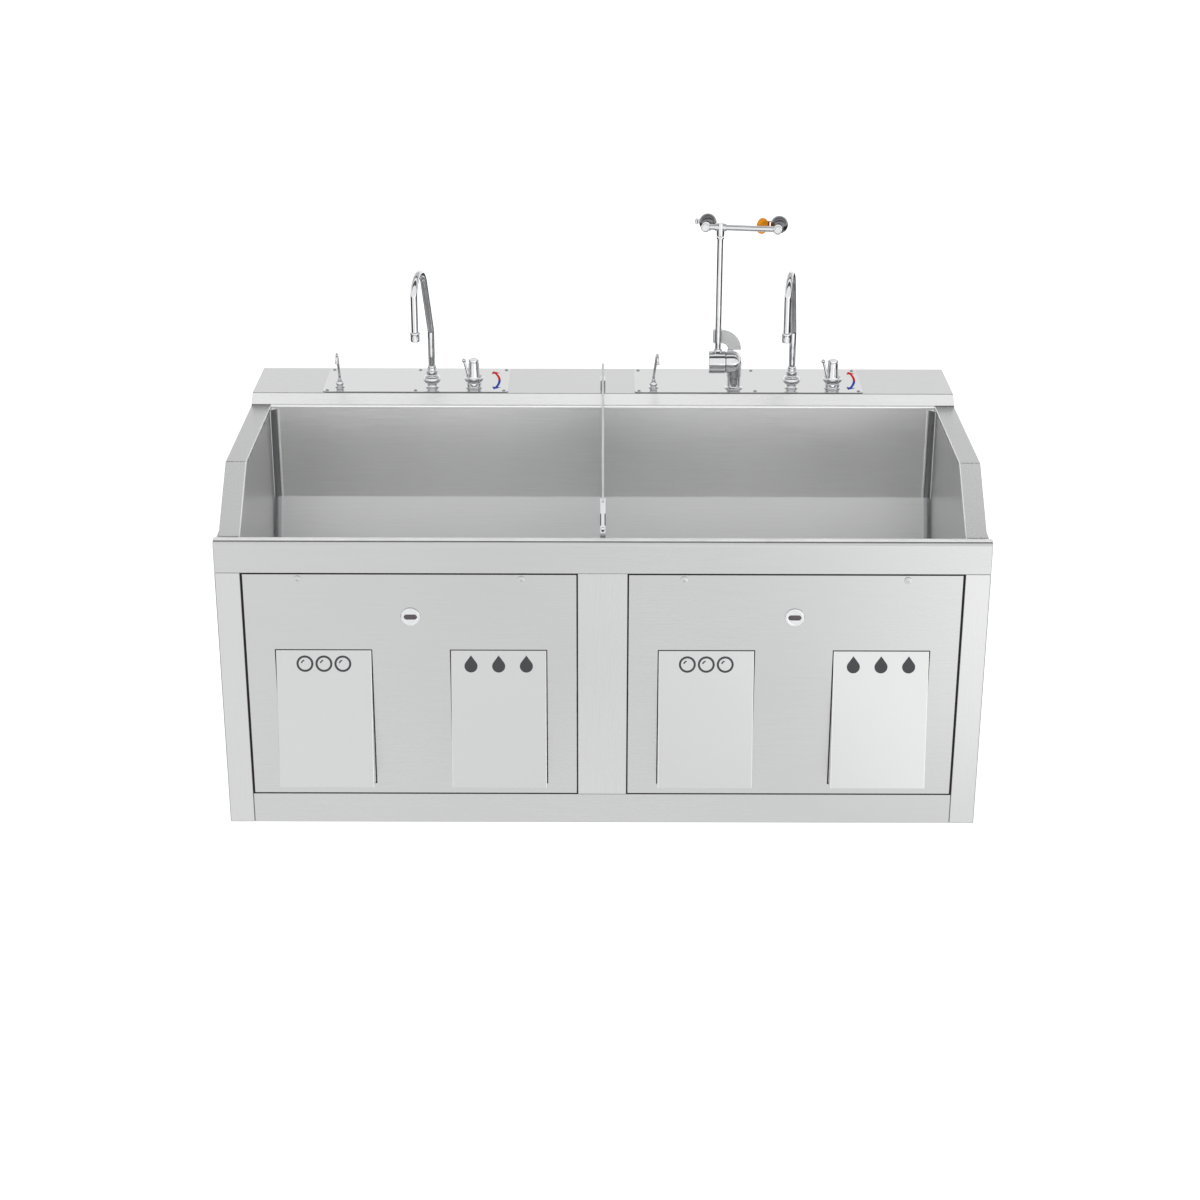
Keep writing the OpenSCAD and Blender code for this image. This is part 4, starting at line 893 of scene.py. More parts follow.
def makeShadeSeals():
    s = seal
    for side, sign in (("left", -1), ("right", 1)):
        x0, x1 = sorted((sign * s["centre"], sign * s["opening"]))
        z0, z1 = s["railTop"], apron["lowerEdge"]
        wide = s["outerGap"] / s["gap"]
        left, right = (wide, 1) if sign < 0 else (1, wide)

        def ring(inset, d):
            return [at(x, d, h) for x, h in (
                (x0 + left * inset, z0 + inset), (x1 - right * inset, z0 + inset),
                (x1 - right * inset, z1 - inset), (x0 + left * inset, z1 - inset))]

        low, high, lip = s["clear"], s["gap"] - s["clear"], s["front"] + s["round"]
        bm = bmesh.new()
        skinRows(bm, [ring(low, s["back"]), ring(low, lip), ring(s["gap"] / 2, s["front"]),
                      ring(high, lip), ring(high, s["back"])], closedRows=True, closedLoop=True)
        addPiece(side + "_panel_shade_seal", bm, "seal", "cabinet")


makeShadeSeals()

# Deck plates with rounded corners
plates = {"left": (-628, -212), "right": (71, 583), "front": 604, "back": 781, "corner": 9,
          "edge": 0.4, "screwInset": 10, "midShift": {"left": 0, "right": 14}}


def makePlate(side):
    x0, x1 = plates[side]
    outline = roundedBox(x0, x1, plates["front"], plates["back"], plates["corner"], 8)
    bm = bmesh.new()
    extrudeOutline(bm, [at(p.x, p.y, cabinet["deckHeight"]) for p in outline],
                   Vector((0, 0, cabinet["plate"] * mm)))
    faceOut(bm)
    obj = addObject(side + "_plate", bm)
    drill(obj, shankHoles(x0, x1))
    roundEdges(obj, plates["edge"])
    # The plates' front faces get a dark painted shade.
    dressSheet(obj, side + "_deck_plate", "plate",
               lambda face: "shadow" if face.normal.y < -paintedLightTurn["plate"] else "plate")


makePlate("left")
makePlate("right")

screws = {
    "deck": {"radius": 3.8, "height": 2.2, "socket": 1.6},
    "panel": {"radius": 7.5, "height": 3.5, "socket": 3.0},
    "clip": {"radius": 3.0, "height": 2.4, "socket": 1.4},
}
panelScrews = {"across": (-620, -165.5, 165.5, 620), "front": 0.1, "level": 555}
clipScrew = {"front": 27.6, "level": 652}


def plateScrewPlaces():
    out = []
    for side in ("left", "right"):
        x0, x1 = plates[side]
        inset = plates["screwInset"]
        for x in (x0 + inset, (x0 + x1) / 2 + plates["midShift"][side], x1 - inset):
            for d in (plates["front"] + inset, plates["back"] - inset):
                out.append(at(x, d, plateHeight - 0.1))
    return out


facingFront = (math.pi / 2, 0.0, 0.0)
screwHeads("deck_heads", plateScrewPlaces(), screws["deck"], (0.0, 0.0, 0.0), ["deck_screws"])
screwHeads("panel_heads", [at(x, panelScrews["front"], panelScrews["level"])
                           for x in panelScrews["across"]],
           screws["panel"], facingFront, ["panel_screws"], "sheet")
screwHeads("clip_head", [at(0, clipScrew["front"], clipScrew["level"])], screws["clip"],
           facingFront, [], "housing")
print("plates and screws made")

# Sensor eyes: a turned bezel round a slot-shaped lens, as (growth, height) or (share, height)
eye = {"x": 392.6, "h": 473, "radius": 20, "lensLength": 26, "lensRadius": 5.25, "clear": 0.15,
       "steps": 96,
       "bezel": [(0, -0.2), (0, 0.9), (-0.25, 1.6), (-0.9, 2.3), (-1.9, 2.8), (-3.2, 3), (-4.6, 3),
                 (-5.4, 2.65), (-6.2, 2.65)],
       "slot": [(1.0, 2.65), (0.35, 2.4), (0, 1.7), (0, -6)], "rear": [(-4, -6), (-4, -0.2)],
       "lens": [(1, -6), (1, 1.2), (0.97, 1.7), (0.85, 2.0), (0.6, 2.15), (0.3, 2.2)]}


def stadium(a, length, radius, grow=0.0):
    # point on a slot's outline in the direction a
    r = radius + grow
    half = length / 2 - radius
    c, s = math.cos(a), math.sin(a)
    edge = r / abs(s) if abs(s) > 1e-9 else 1e9
    if abs(c) * edge <= half:
        return Vector((c * edge, s * edge))
    far = half * abs(c) + math.sqrt(max(0, r * r - (half * s) ** 2))
    return Vector((c * far, s * far))


def makeEyes():
    angles = [2 * math.pi * k / eye["steps"] for k in range(eye["steps"])]
    ring, glass = bmesh.new(), bmesh.new()
    for side in (-1, 1):
        def put(p, out):
            return at(side * eye["x"] + p.x, -out, eye["h"] + p.y)

        def circle(grow, out):
            r = eye["radius"] + grow
            return [put(Vector((r * math.cos(a), r * math.sin(a))), out) for a in angles]

        def slotRow(grow, out, share=1.0):
            return [put(stadium(a, eye["lensLength"], eye["lensRadius"], grow) * share, out)
                    for a in angles]

        skinRows(ring, [circle(*p) for p in eye["bezel"]] + [slotRow(*p) for p in eye["slot"]]
                 + [circle(*p) for p in eye["rear"]], closedRows=True, closedLoop=True)
        made = skinRows(glass, [slotRow(-eye["clear"], out, share) for share, out in eye["lens"]],
                        closedRows=True)
        glass.faces.new(made[0])
        glass.faces.new(made[-1])
    for name, bm, look, slot, node in (
        ("eye_bezels", ring, "chrome", "chrome", "sensor_bezels"),
        ("eye_lenses", glass, "lens", "lens", "sensor_lenses"),
    ):
        addPiece(name, bm, look, "cabinet", [node], crease=45)


makeEyes()

# Faucets: turned base, swan neck along a path, knurled outlet
faucet = {"radius": 7.2, "start": 38, "kink": 131, "kinkRound": 22, "reach": 131, "apex": 282,
          "arch": 43, "end": 162, "steps": 20, "sides": 40, "yaw": 11, "outlet": 143, "baseTop": 46,
          "collar": [(7.1, 0.3), (8.7, 0.3), (9.2, 0.8), (9.2, 3.6), (8.6, 4.6), (7.25, 5.2),
                     (7.1, 5.2)]}
baseProfile = [
    (0, 0), (14.2, 0), (14.6, 0.5), (14.6, 2.2), (14.0, 2.9), (11.8, 3.4), (11.3, 5.0), (11.3, 8.6),
    (12.2, 9.8), (14.2, 10.6), (16.6, 12.2), (18.6, 14.6), (19.8, 17.4), (20.0, 19.4), (19.6, 22.0),
    (18.2, 24.6), (16.0, 26.8), (13.4, 28.2), (11.9, 29.0), (11.6, 30.2), (12.5, 31.0),
    (12.8, 31.8), (12.8, 38.2), (12.3, 39.2), (11.2, 39.7), (10.2, 40.4), (9.9, 41.5), (9.9, 45.2),
    (9.5, 45.9), (8.0, 46.1), (7.35, 45.7), (7.35, 40.0), (0, 40.0),
]


def onPivot(x, yaw, p):
    # forward reach and height above the deck plate, turned about the fitting's axis
    a = math.radians(yaw)
    return at(x - p[0] * math.sin(a), cabinet["fittingDepth"] - p[0] * math.cos(a),
              plateHeight + p[1])


def archTube(x, f):
    # a tube that rises to a kink, slopes on to an arch, goes over it and comes down
    arch = f["arch"]
    slope = Vector((f["reach"] - arch, f["apex"] - arch - f["kink"]))
    rise = math.atan2(slope.y, slope.x) + math.asin(arch / slope.length)
    cornerX = f["reach"] - arch - arch * math.tan(rise / 2)
    path = roundedPath([(0, f["start"]), (0, f["kink"]), (cornerX, f["apex"]),
                        (f["reach"], f["apex"]), (f["reach"], f["end"])],
                       [f["kinkRound"], arch, arch * 0.9999], f["steps"])
    return merged([tubeObject([onPivot(x, f["yaw"], p) for p in path], f["radius"],
                              sides=f["sides"])])


outlet = {"knurls": 30, "knurlDepth": 0.45, "knurlFrom": 3.5, "knurlTo": 12.5, "profile": [
    (7.6, 9), (7.6, 1.2), (8.0, 0.2), (8.8, 0), (9.4, 0.5), (9.6, 1.3), (9.6, 3.4), (9.6, 4.0),
    (9.6, 12.0), (9.6, 12.8), (9.6, 15.6), (9.9, 16.6), (10.4, 17.0), (10.4, 19.6), (9.8, 20.4),
    (7.4, 21.0), (7.1, 21.0), (7.1, 10.5), (0, 10.5), (0, 9)]}


def knurled(a, r, h):
    if r < 9 or not outlet["knurlFrom"] < h < outlet["knurlTo"]:
        return r
    return r - outlet["knurlDepth"] * (0.5 - 0.5 * math.cos(outlet["knurls"] * a))


def makeFaucet(side, x):
    bm = archTube(x, faucet)
    lathe(bm, onPivot(x, 0, (0, faucet["baseTop"])), faucet["collar"], 48)
    addPlated(side + "_swan_neck", bm, side + "_neck", [side + "_gooseneck"], 40)
    bm = bmesh.new()
    tip = onPivot(x, faucet["yaw"], (faucet["reach"], faucet["outlet"]))
    lathe(bm, tip, outlet["profile"], 120, radiusOf=knurled)
    addPlated(side + "_outlet", bm, side + "_neck", [side + "_aerator"], 45)


# Below the deck: threaded shank and six-sided nut of each fitting
below = {"shankFoot": 720, "shankLength": 43.5, "nutFoot": 752, "nutHeight": 8}


def addNut(bm, x, flat, wide):
    top = below["nutHeight"]
    lathe(bm, onLine(x, below["nutFoot"]),
          [(0, 0), (flat, 0), (wide, 1), (wide, top - 1), (flat, top), (0, top)], 6)


def addShank(bm, x, r, steps):
    top = below["shankLength"]
    lathe(bm, onLine(x, below["shankFoot"]), [(0, 0), (r, 0), (r, top), (0, top)], steps)


bases = bmesh.new()
for side, x in zip(("left", "right"), fittings["faucets"]):
    makeFaucet(side, x)
    lathe(bases, onLine(x, plateHeight), baseProfile, 64)
    addShank(bases, x, 9.4, 32)
    addNut(bases, x, 17, 18)
addPlated("faucet_feet", bases, "cabinet", ["faucet_bases"], 40)
print("faucets made")

# Temperature knobs: flared skirt, tapered body with a cap, and a lever with a ball
knob = {"lever": (-22, 62), "leverFoot": (-12, 27), "ball": 4.6, "valveFoot": 684,
        "valve": [(0, 0), (23, 0), (26, 3), (26, 61), (24, 64), (12, 64), (12, 79.4), (0, 79.4)],
        "portHeight": 710, "port": [(0, 0), (9, 0), (9, 30), (10, 31), (10, 39), (9, 40), (0, 40)]}
knobProfile = [
    (5.2, 13.6), (14.6, 13.6), (17.6, 14.2), (19.6, 15.4), (21.4, 18.4), (22.4, 21.6), (22.3, 22.6),
    (21.4, 23.2), (20.2, 22.6), (18.6, 20.4), (16.8, 19.8), (15.0, 20.6), (13.9, 22.6),
    (13.4, 26.0), (12.6, 36.0), (11.7, 48.0), (11.0, 57.0), (10.9, 58.2), (10.3, 58.7),
    (10.3, 59.5), (10.8, 60.0), (10.6, 64.0), (9.9, 65.4), (8.6, 66.0), (5.4, 65.9), (4.9, 65.4),
    (0, 65.2),
]
bonnetProfile = [(0, 0), (17.8, 0), (18.4, 0.5), (18.4, 1.6), (17.6, 2.4), (16.6, 2.9), (16.4, 4.0),
                 (16.4, 11.4), (15.8, 12.6), (14.6, 13.0), (5.1, 13.0), (5.1, 33.0), (0, 33.0)]


def makeKnob(side, x):
    bm = bmesh.new()
    centre = onLine(x, plateHeight)
    lathe(bm, centre, knobProfile, 64)
    foot, tip, r = Vector(knob["leverFoot"]), Vector(knob["lever"]), knob["ball"]
    along = (tip - foot).normalized()
    axis = Vector((along.x, 0, along.y)).to_track_quat("Z", "Y").to_matrix()
    length = (tip - foot).length
    lathe(bm, centre + Vector((foot.x, 0, foot.y)) * mm, [
        (0, -2), (3.8, -2), (3.6, 6), (3.0, 12), (2.7, length - 3.2), (3.1, length - 2.6),
        (0, length - 1)], 28, axis)
    lathe(bm, centre + Vector((tip.x, 0, tip.y)) * mm,
          [(0, -r)] + arc(r, -80, 80, 16) + [(0, r)], 32, axis)
    addPlated(side + "_knob_dressed", bm, side + "_knob", [side + "_temperature_knob"])


valves = bmesh.new()
for side, x in zip(("left", "right"), fittings["knobs"]):
    makeKnob(side, x)
    lathe(valves, onLine(x, plateHeight), bonnetProfile, 56)
    lathe(valves, onLine(x, knob["valveFoot"]), knob["valve"], 48)
    addNut(valves, x, 21, 22)
    for way in (-1, 1):
        lathe(valves, onLine(x, knob["portHeight"]), [(r, h * way) for r, h in knob["port"]], 32,
              "X")
addPlated("mixer_bodies", valves, "cabinet", ["mixing_valves"])

# Soap spouts
soap = {"radius": 3.0, "start": 13, "kink": 25, "kinkRound": 9, "reach": 96, "apex": 101,
        "arch": 12, "end": 82, "steps": 14, "sides": 28, "yaw": -4, "foot": 17,
        "collar": [(2.9, 0.3), (4.3, 0.3), (4.6, 0.7), (4.6, 2.4), (4.1, 3.0), (2.9, 3.2)],
        "nozzle": [(2.2, -0.2), (3.4, -0.2), (3.7, 0.3), (3.7, 3.2), (3.3, 3.8), (2.2, 3.8)],
        "base": [(0, 0), (10.2, 0), (10.6, 0.5), (10.6, 2.0), (9.8, 2.6), (7.2, 3.2), (8.2, 5.0),
                 (8.9, 7.4), (9.1, 9.2), (8.7, 11.6), (7.5, 14.0), (5.8, 15.9), (5.0, 16.6),
                 (4.2, 17.0), (3.15, 17.0), (3.15, 10), (0, 10)]}


def makeSpout(side, x):
    bm = archTube(x, soap)
    lathe(bm, onLine(x, plateHeight + soap["foot"]), soap["collar"], 32)
    lathe(bm, onPivot(x, soap["yaw"], (soap["reach"], soap["end"])), soap["nozzle"], 28)
    addPlated(side + "_spout_dressed", bm, side + "_spout", [side + "_soap_spout"], 40)


feet = bmesh.new()
for side, x in zip(("left", "right"), fittings["soaps"]):
    makeSpout(side, x)
    lathe(feet, onLine(x, plateHeight), soap["base"], 48)
    addShank(feet, x, 5.9, 28)
    addNut(feet, x, 10.2, 11)
addPlated("soap_feet", feet, "cabinet", ["soap_bases"], 40)
print("knobs and spouts made")

# Eyewash: X across, behind the fittings' line and above the elbow's axis
wash = {"axisHeight": 823.6, "riser": 257, "column": 294, "seam": 274.5, "yaw": 8, "armHeight": 306,
        "heads": (-32.5, 125.5), "tube": 6.35, "ringCentre": (265.35, 26), "ringOuter": 44,
        "ringHole": 15, "restFront": 7.35, "restBack": 17.35, "fork": (43.5, 71.5),
        "hinge": (-25, 50), "shankFoot": 718, "elbow": 243, "sleeve": 237, "stop": 286, "tee": -13,
        "nut": -14, "hub": -10.5}


def washAt(x, y, z):
    return at(x, cabinet["fittingDepth"] + y, wash["axisHeight"] + z)


restDeep = washAt(0, wash["restBack"], 0) - washAt(0, wash["restFront"], 0)


def headAt(x, y, z):
    a = math.radians(wash["yaw"])
    return washAt(wash["riser"] + x * math.cos(a) + y * math.sin(a),
                  y * math.cos(a) - x * math.sin(a), wash["armHeight"] + z)


headTurn = Matrix.Rotation(math.radians(-wash["yaw"]), 3, "Z")
backwards = headTurn @ axisTurns["Y"]
sideways = headTurn @ axisTurns["X"]


def makeWashStand():
    w = wash
    bm = bmesh.new()
    lathe(bm, onLine(w["column"], w["shankFoot"]),
          [(0, 0), (12.3, 0), (12.9, 0.6), (12.9, 45.5), (0, 45.5)], 40)
    addNut(bm, w["column"], 21, 22)
    lathe(bm, onLine(w["column"], plateHeight), [
        (0, 0), (19.7, 0), (20.2, 0.6), (20.2, 1.7), (19.4, 2.6), (17.2, 3.2), (15.9, 4.2),
        (15.2, 5.8), (15.2, 26), (15.7, 27), (16.4, 29), (16.6, 34), (16.6, 60), (0, 60)], 56)
    rounding = arc(18, 0, 90, 12, (6.5, 16.7))
    lathe(bm, washAt(w["seam"], 0, 0), [(0, 0), (22.7, 0), (24.0, 0.7), (24.5, 1.8)] + rounding
          + [(0, 34.7)], 64, "X")
    lathe(bm, washAt(w["elbow"], 0, 0), [(0, 0), (14.2, 0), (15, 0.8), (15, 32), (0, 32)], 40, "X")
    addPlated("eyewash_stand", bm, "cabinet", ["eyewash_column"])
    boss = bmesh.new()
    extrudeOutline(boss, [washAt(p.x, w["restFront"], p.y)
                          for p in roundedBox(278.5, 292.5, 8, 26, 1.5)], restDeep)
    addPlated("eyewash_boss", boss, "cabinet", crease=32, edge=0.6)


def makeWashRest():
    w = wash
    x, z = w["ringCentre"]
    bm = bmesh.new()
    quarter = arc(w["ringOuter"], 0, 90, 24, (x, z)) + arc(w["ringHole"], 90, 0, 14, (x, z))
    extrudeOutline(bm, [washAt(p[0], w["restFront"], p[1]) for p in quarter], restDeep)
    low, high = w["fork"]
    fork = [(246.35, -3), (250.35, -3), (250.35, 7.35), (263.65, 7.35), (263.65, -3), (267.65, -3),
            (267.65, 17.35), (246.35, 17.35)]
    extrudeOutline(bm, [washAt(*p, low) for p in fork], Vector((0, 0, (high - low) * mm)))
    addPiece("eyewash_cradle", bm, "slope", "cabinet", ["eyewash_rest"], edge=1.2, steps=3)


def makeWashSleeve():
    w = wash
    bm = bmesh.new()
    lathe(bm, washAt(w["sleeve"], 0, 0), [
        (0, 0), (23.6, 0), (24.9, 0.5), (25.5, 1.6), (25.5, 35.6), (25.0, 36.6), (23.7, 37.2),
        (15.4, 37.2), (15.4, 5), (0, 5)], 72, "X")
    lathe(bm, washAt(w["riser"], 0, 0), [
        (0, 21), (13.5, 21.4), (11.6, 24.2), (10.2, 25.6), (9.2, 26.8), (8.85, 28), (8.85, 29.8),
        (8.2, 30.4), (0, 30.4)], 40)
    addPlated("eyewash_barrel", bm, "eyewash", ["eyewash_sleeve"])


def makeWashArm():
    w = wash
    bm = bmesh.new()
    r = w["tube"]
    top = w["armHeight"]
    lathe(bm, washAt(w["riser"], 0, 0), [(0, 30.6), (r, 30.6), (r, top), (0, top)], 40)
    lathe(bm, washAt(w["riser"], 0, 0), [
        (0, 280), (7.2, 280), (8.1, 280.5), (8.35, 281.4), (8.35, 285), (7.8, 286), (7.8, 288),
        (8.35, 289), (8.35, 314.6), (7.6, 315.7), (5.5, 316), (0, 316)], 44)
    lathe(bm, washAt(w["riser"], 0, w["stop"]),
          [(0, 6), (2.2, 6), (2.2, 9.9), (1.7, 10.35), (0, 10.35)], 24, "-Y")
    span = w["heads"][1] - w["heads"][0]
    lathe(bm, headAt(w["heads"][0], 0, 0), [(0, 0), (r, 0), (r, span), (0, span)], 40, sideways)
    lathe(bm, headAt(w["tee"], 0, 0), [
        (0, 0), (7.2, 0), (8.1, 0.5), (8.35, 1.4), (8.35, 4.6), (7.9, 5.4), (7.9, 20.6),
        (8.35, 21.4), (8.35, 24.6), (8.1, 25.5), (7.2, 26), (0, 26)], 44, sideways)
    for x in w["heads"]:
        lathe(bm, headAt(x, w["nut"], 0), [(0, 0), (6.8, 0), (7.8, 0.9), (7.8, 5), (0, 5)], 6,
              backwards)
        lathe(bm, headAt(x, w["hub"], 0), [
            (0, 0), (8.0, 0), (9.3, 0.8), (10, 2.4), (10, 19.4), (9.4, 21), (8.2, 22), (0, 22)], 44,
            backwards)
    addPlated("eyewash_tubes", bm, "eyewash", ["eyewash_arm"])


def makeWashHeads():
    bm = bmesh.new()
    dome = [(r, 45 - h) for r, h in arc(19, 68, 0, 17)]
    for x in wash["heads"]:
        lathe(bm, headAt(x, 0, 0), [(0, 11.5), (7, 11.5), (7, 26.6), (7.15, 27.2)] + dome + [
            (19, 48.8), (18.6, 49.7), (17.8, 50), (16.6, 50), (16.1, 49.6), (16, 48.8), (16, 47.5),
            (15.4, 47), (12, 47), (11.6, 46.6), (8, 46.6), (7.6, 47), (4, 47), (3.6, 46.6),
            (0, 46.6)], 64, backwards)
    addPiece("eyewash_spray_heads", bm, "dome", "eyewash", ["eyewash_heads"], crease=40)
    bm = bmesh.new()
    for x in wash["heads"]:
        for low, high in ((-6.5, -4.3), (4.3, 6.5)):
            lug = roundedBox(x - 27.5, x - 17.2, 47, 51.5, 1.8)
            extrudeOutline(bm, [headAt(p.x, p.y, low) for p in lug],
                           Vector((0, 0, (high - low) * mm)))
        hx, hy = wash["hinge"]
        lathe(bm, headAt(x + hx, hy, -6.9),
              [(0, 0), (1.2, 0), (1.5, 0.3), (1.5, 13.5), (1.2, 13.8), (0, 13.8)], 20)
    addPlated("eyewash_cap_lugs", bm, "eyewash", crease=40)


def makeDustCap(side, x, opened, linkLook):
    hx, hy = wash["hinge"]
    a = math.radians(opened)

    def capAt(px, py, z):
        return headAt(x + hx + px * math.cos(a) - py * math.sin(a),
                      hy + px * math.sin(a) + py * math.cos(a), z)

    turned = headTurn @ Matrix.Rotation(a, 3, "Z") @ axisTurns["Y"]
    bm = bmesh.new()
    lathe(bm, capAt(-hx, 0.3, 0), [
        (0, 0), (14, 0), (16.6, 0), (17.2, 0.3), (17.4, 0.9), (17.4, 4.8), (17.1, 5.8), (16.2, 6.7),
        (14.2, 8.2), (13.4, 8.8), (12.4, 9), (9, 9), (8.4, 8.5), (0, 8.5)], 64, turned)
    addPiece(side + "_cap_disc", bm, "cap", side + "_cap", [side + "_dust_cap"],
             crease=40)
    link = bmesh.new()
    barrel = [(3.0, 0), (3.2, 0.3), (3.2, 7.7), (3.0, 8), (1.7, 8), (1.7, 0)]
    rows = [[capAt(px, py, z - 4) for px, py in arc(r, 0, 360, 28)[:-1]] for r, z in barrel]
    skinRows(link, rows, closedRows=True, closedLoop=True)
    strap = roundedBox(2.2, 9.5, -3.8, 3.8, 1.4)
    extrudeOutline(link, [capAt(p.x, 0.35, p.y) for p in strap],
                   capAt(0, 2.9, 0) - capAt(0, 0.35, 0))
    addPiece(side + "_cap_link", link, linkLook, side + "_cap", crease=40)


makeWashStand()
makeWashRest()
makeWashSleeve()
makeWashArm()
makeWashHeads()
makeDustCap("left", wash["heads"][0], 0, "chrome")
makeDustCap("right", wash["heads"][1], 236, "strap")
print("eyewash made")

# Divider: clear pane with ground edges, in its clips
pane = softened("divider_pane", "pane", 0.5, "cabinet")
paintFaces(pane, lambda face: "pane" if abs(face.normal.x) > 0.9 else "paneEdge")
softened("divider_clips", "chrome", 0.5, "cabinet")
pad = {"across": (-4.3, 4.3), "half": 1.0, "low": 662, "high": 688, "round": 0.7, "front": 27.7,
       "thick": 0.6}
pads = bmesh.new()
for x in pad["across"]:
    outline = roundedBox(x - pad["half"], x + pad["half"], pad["low"], pad["high"], pad["round"])
    extrudeOutline(pads, [at(p.x, pad["front"], p.y) for p in outline],
                   Vector((0, pad["thick"] * mm, 0)))
addPiece("clip_pads", pads, "housing", "cabinet")

# Printed signs: bubbles for soap and drops for water on the knee panels
sign = {"lean": 9.3, "pinDepth": 10, "pinHeight": 392, "face": 10, "centre": -25, "proud": 0.2,
        "sunk": 0.1, "bubbles": (-39, 0, 39), "bubble": 17.5, "ring": 4.5, "glint": (8.6, 5.8),
        "glintArc": (100, 170),
        "drops": (-57, 0, 57), "drop": 13.5, "dropTip": 23, "dropFall": 4.5}


def onKnee(x, u, out, z):
    a = math.radians(sign["lean"])
    y = -sign["face"] - out
    return at(x + u, sign["pinDepth"] + y * math.cos(a) + z * math.sin(a),
              sign["pinHeight"] - y * math.sin(a) + z * math.cos(a))


def printed(bm, place, outer, inner=None):
    # a thin print between two outlines, or within one
    low, high = -sign["sunk"], sign["proud"]
    if inner:
        rows = [[place(p, h) for p in edge] for edge, h in (
            (outer, low), (outer, high), (inner, high), (inner, low))]
        skinRows(bm, rows, closedRows=True, closedLoop=True)
    else:
        extrudeOutline(bm, [place(p, low) for p in outer],
                       place((0, 0), high) - place((0, 0), low))


def dropOutline(u):
    # round below, drawn to a point above
    r, tip, fall = sign["drop"], sign["dropTip"], sign["dropFall"]
    touch = math.degrees(math.asin(r / tip))
    return arc(r, 180 - touch, 360 + touch, 28, (u, -fall)) + [(u, tip - fall)]


def makeSigns():
    for label, x in knees.items():
        bm = bmesh.new()

        def place(p, out):
            return onKnee(x, p[0], out, sign["centre"] + p[1])

        if label.endswith("soap"):
            for u in sign["bubbles"]:
                printed(bm, place, arc(sign["bubble"], 0, 350, 35, (u, 0)),
                        arc(sign["bubble"] - sign["ring"], 0, 350, 35, (u, 0)))
                (wide, narrow), (a, b) = sign["glint"], sign["glintArc"]
                printed(bm, place, arc(wide, a, b, 8, (u, 0)) + arc(narrow, b, a, 8, (u, 0)))
        else:
            for u in sign["drops"]:
                printed(bm, place, dropOutline(u))
        addPiece(label + "_sign", bm, "mark", label + "_knee", crease=50)


makeSigns()

# Two-colour arcs with arrowheads beside the temperature knobs
dial = {"chord": 138, "bulge": 14, "reach": 55, "depth": 693, "width": 5.5, "head": 20,
        "headRun": 6, "gap": 0.1, "tilts": (3.1, -5.5)}


def makeDials():
    d = dial
    radius = ((d["chord"] / 2) ** 2 + d["bulge"] ** 2) / (2 * d["bulge"])
    half = math.degrees(math.asin(d["chord"] / 2 / radius))
    for side, x, lean in zip(("left", "right"), fittings["knobs"], d["tilts"]):
        tilt = math.radians(lean)
        centre = (x + d["reach"] - radius * math.cos(tilt), d["depth"] - radius * math.sin(tilt))

        def place(p, out):
            return at(p[0], p[1], plateHeight + out)

        for look, way in (("hot", 1), ("cold", -1)):
            bm = bmesh.new()
            inner, outer = radius - d["width"] / 2, radius + d["width"] / 2
            start, end = lean + d["gap"] * way, lean + (half - d["headRun"]) * way
            printed(bm, place,
                    arc(outer, start, end, 12, centre) + arc(inner, end, start, 12, centre))
            base = math.radians(end)
            point = math.radians(lean + half * way)
            printed(bm, place, [
                (centre[0] + (radius + r) * math.cos(t), centre[1] + (radius + r) * math.sin(t))
                for r, t in ((d["head"] / 2, base), (0, point), (-d["head"] / 2, base))])
            addPiece(side + "_" + look + "_arc", bm, look, "cabinet", crease=50)


makeDials()

# Dark rubber trims in the cut-outs for the knee panels, there as painted shade in the gaps beside
# them
trim = {"half": 100, "thick": 1.5, "clear": 0.1, "front": 0.4, "slant": 0.6, "back": 6.5,
        "low": 92, "high": 399.5}


def makeShadeTrims():
    t = trim
    for label, x in knees.items():
        bm = bmesh.new()
        outer, inner = [[(x - h, t["low"]), (x - h, top), (x + h, top), (x + h, t["low"])]
                        for h, top in ((t["half"] - t["clear"], t["high"] - t["clear"]),
                                       (t["half"] - t["thick"], t["high"] - t["thick"]))]
        rows = [[at(p[0], d, p[1]) for p in edge] for edge, d in (
            (outer, t["front"]), (inner, t["front"] + t["slant"]), (inner, t["back"]),
            (outer, t["back"]))]
        made = skinRows(bm, rows, closedLoop=True)
        for end in (0, -1):
            bm.faces.new([row[end] for row in made])
        addPiece(label + "_shade_trim", bm, "seal", "cabinet")


makeShadeTrims()
softened("drain_strainer", "chrome", 0.4, "cabinet")
print("divider, signs and trims made")

# Other CAD nodes keep their own shape and get a finish
kept = {
    "drain_trap": "chrome", "hot_supply_pipe": "copper", "cold_supply_pipe": "copper",
    "water_valves": "brass", "soap_pumps": "housing", "sensor_housings": "housing",
    "soap_bottles": "bottle", "water_lines": "line", "soap_lines": "line", "hinge_pins": "screw",
    **{label + "_plunger": "chrome" for label in knees},
}
for node, look in kept.items():
    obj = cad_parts[node]
    obj.data.materials.clear()
    obj.data.materials.append(looks[look])


# Pale floor that glows a little, so that it stays white under the sink, and a soft surround
studio = {"floorHeight": -0.66, "floorHalf": 40, "floorTone": (0.30, 0.30, 0.30),
          "floorGlow": 0.95, "sideGlow": 0.40, "sideFrom": (0.45, 1.4), "middleDip": -0.08,
          "middleFrom": (0.25, 1.0), "frontFade": (-1.9, -1.2), "light": 1.14,
          "horizons": (1.0, 0.95),
          # degrees over the top, from the front to the back, and how light it is there
          "sky": ((52, 1.0), (56, 0.1), (77, 0.1), (80, 1.0), (96, 1.0), (99, 0.1), (108, 0.1),
                  (113, 0.62), (143, 0.62), (150, 1.02))}


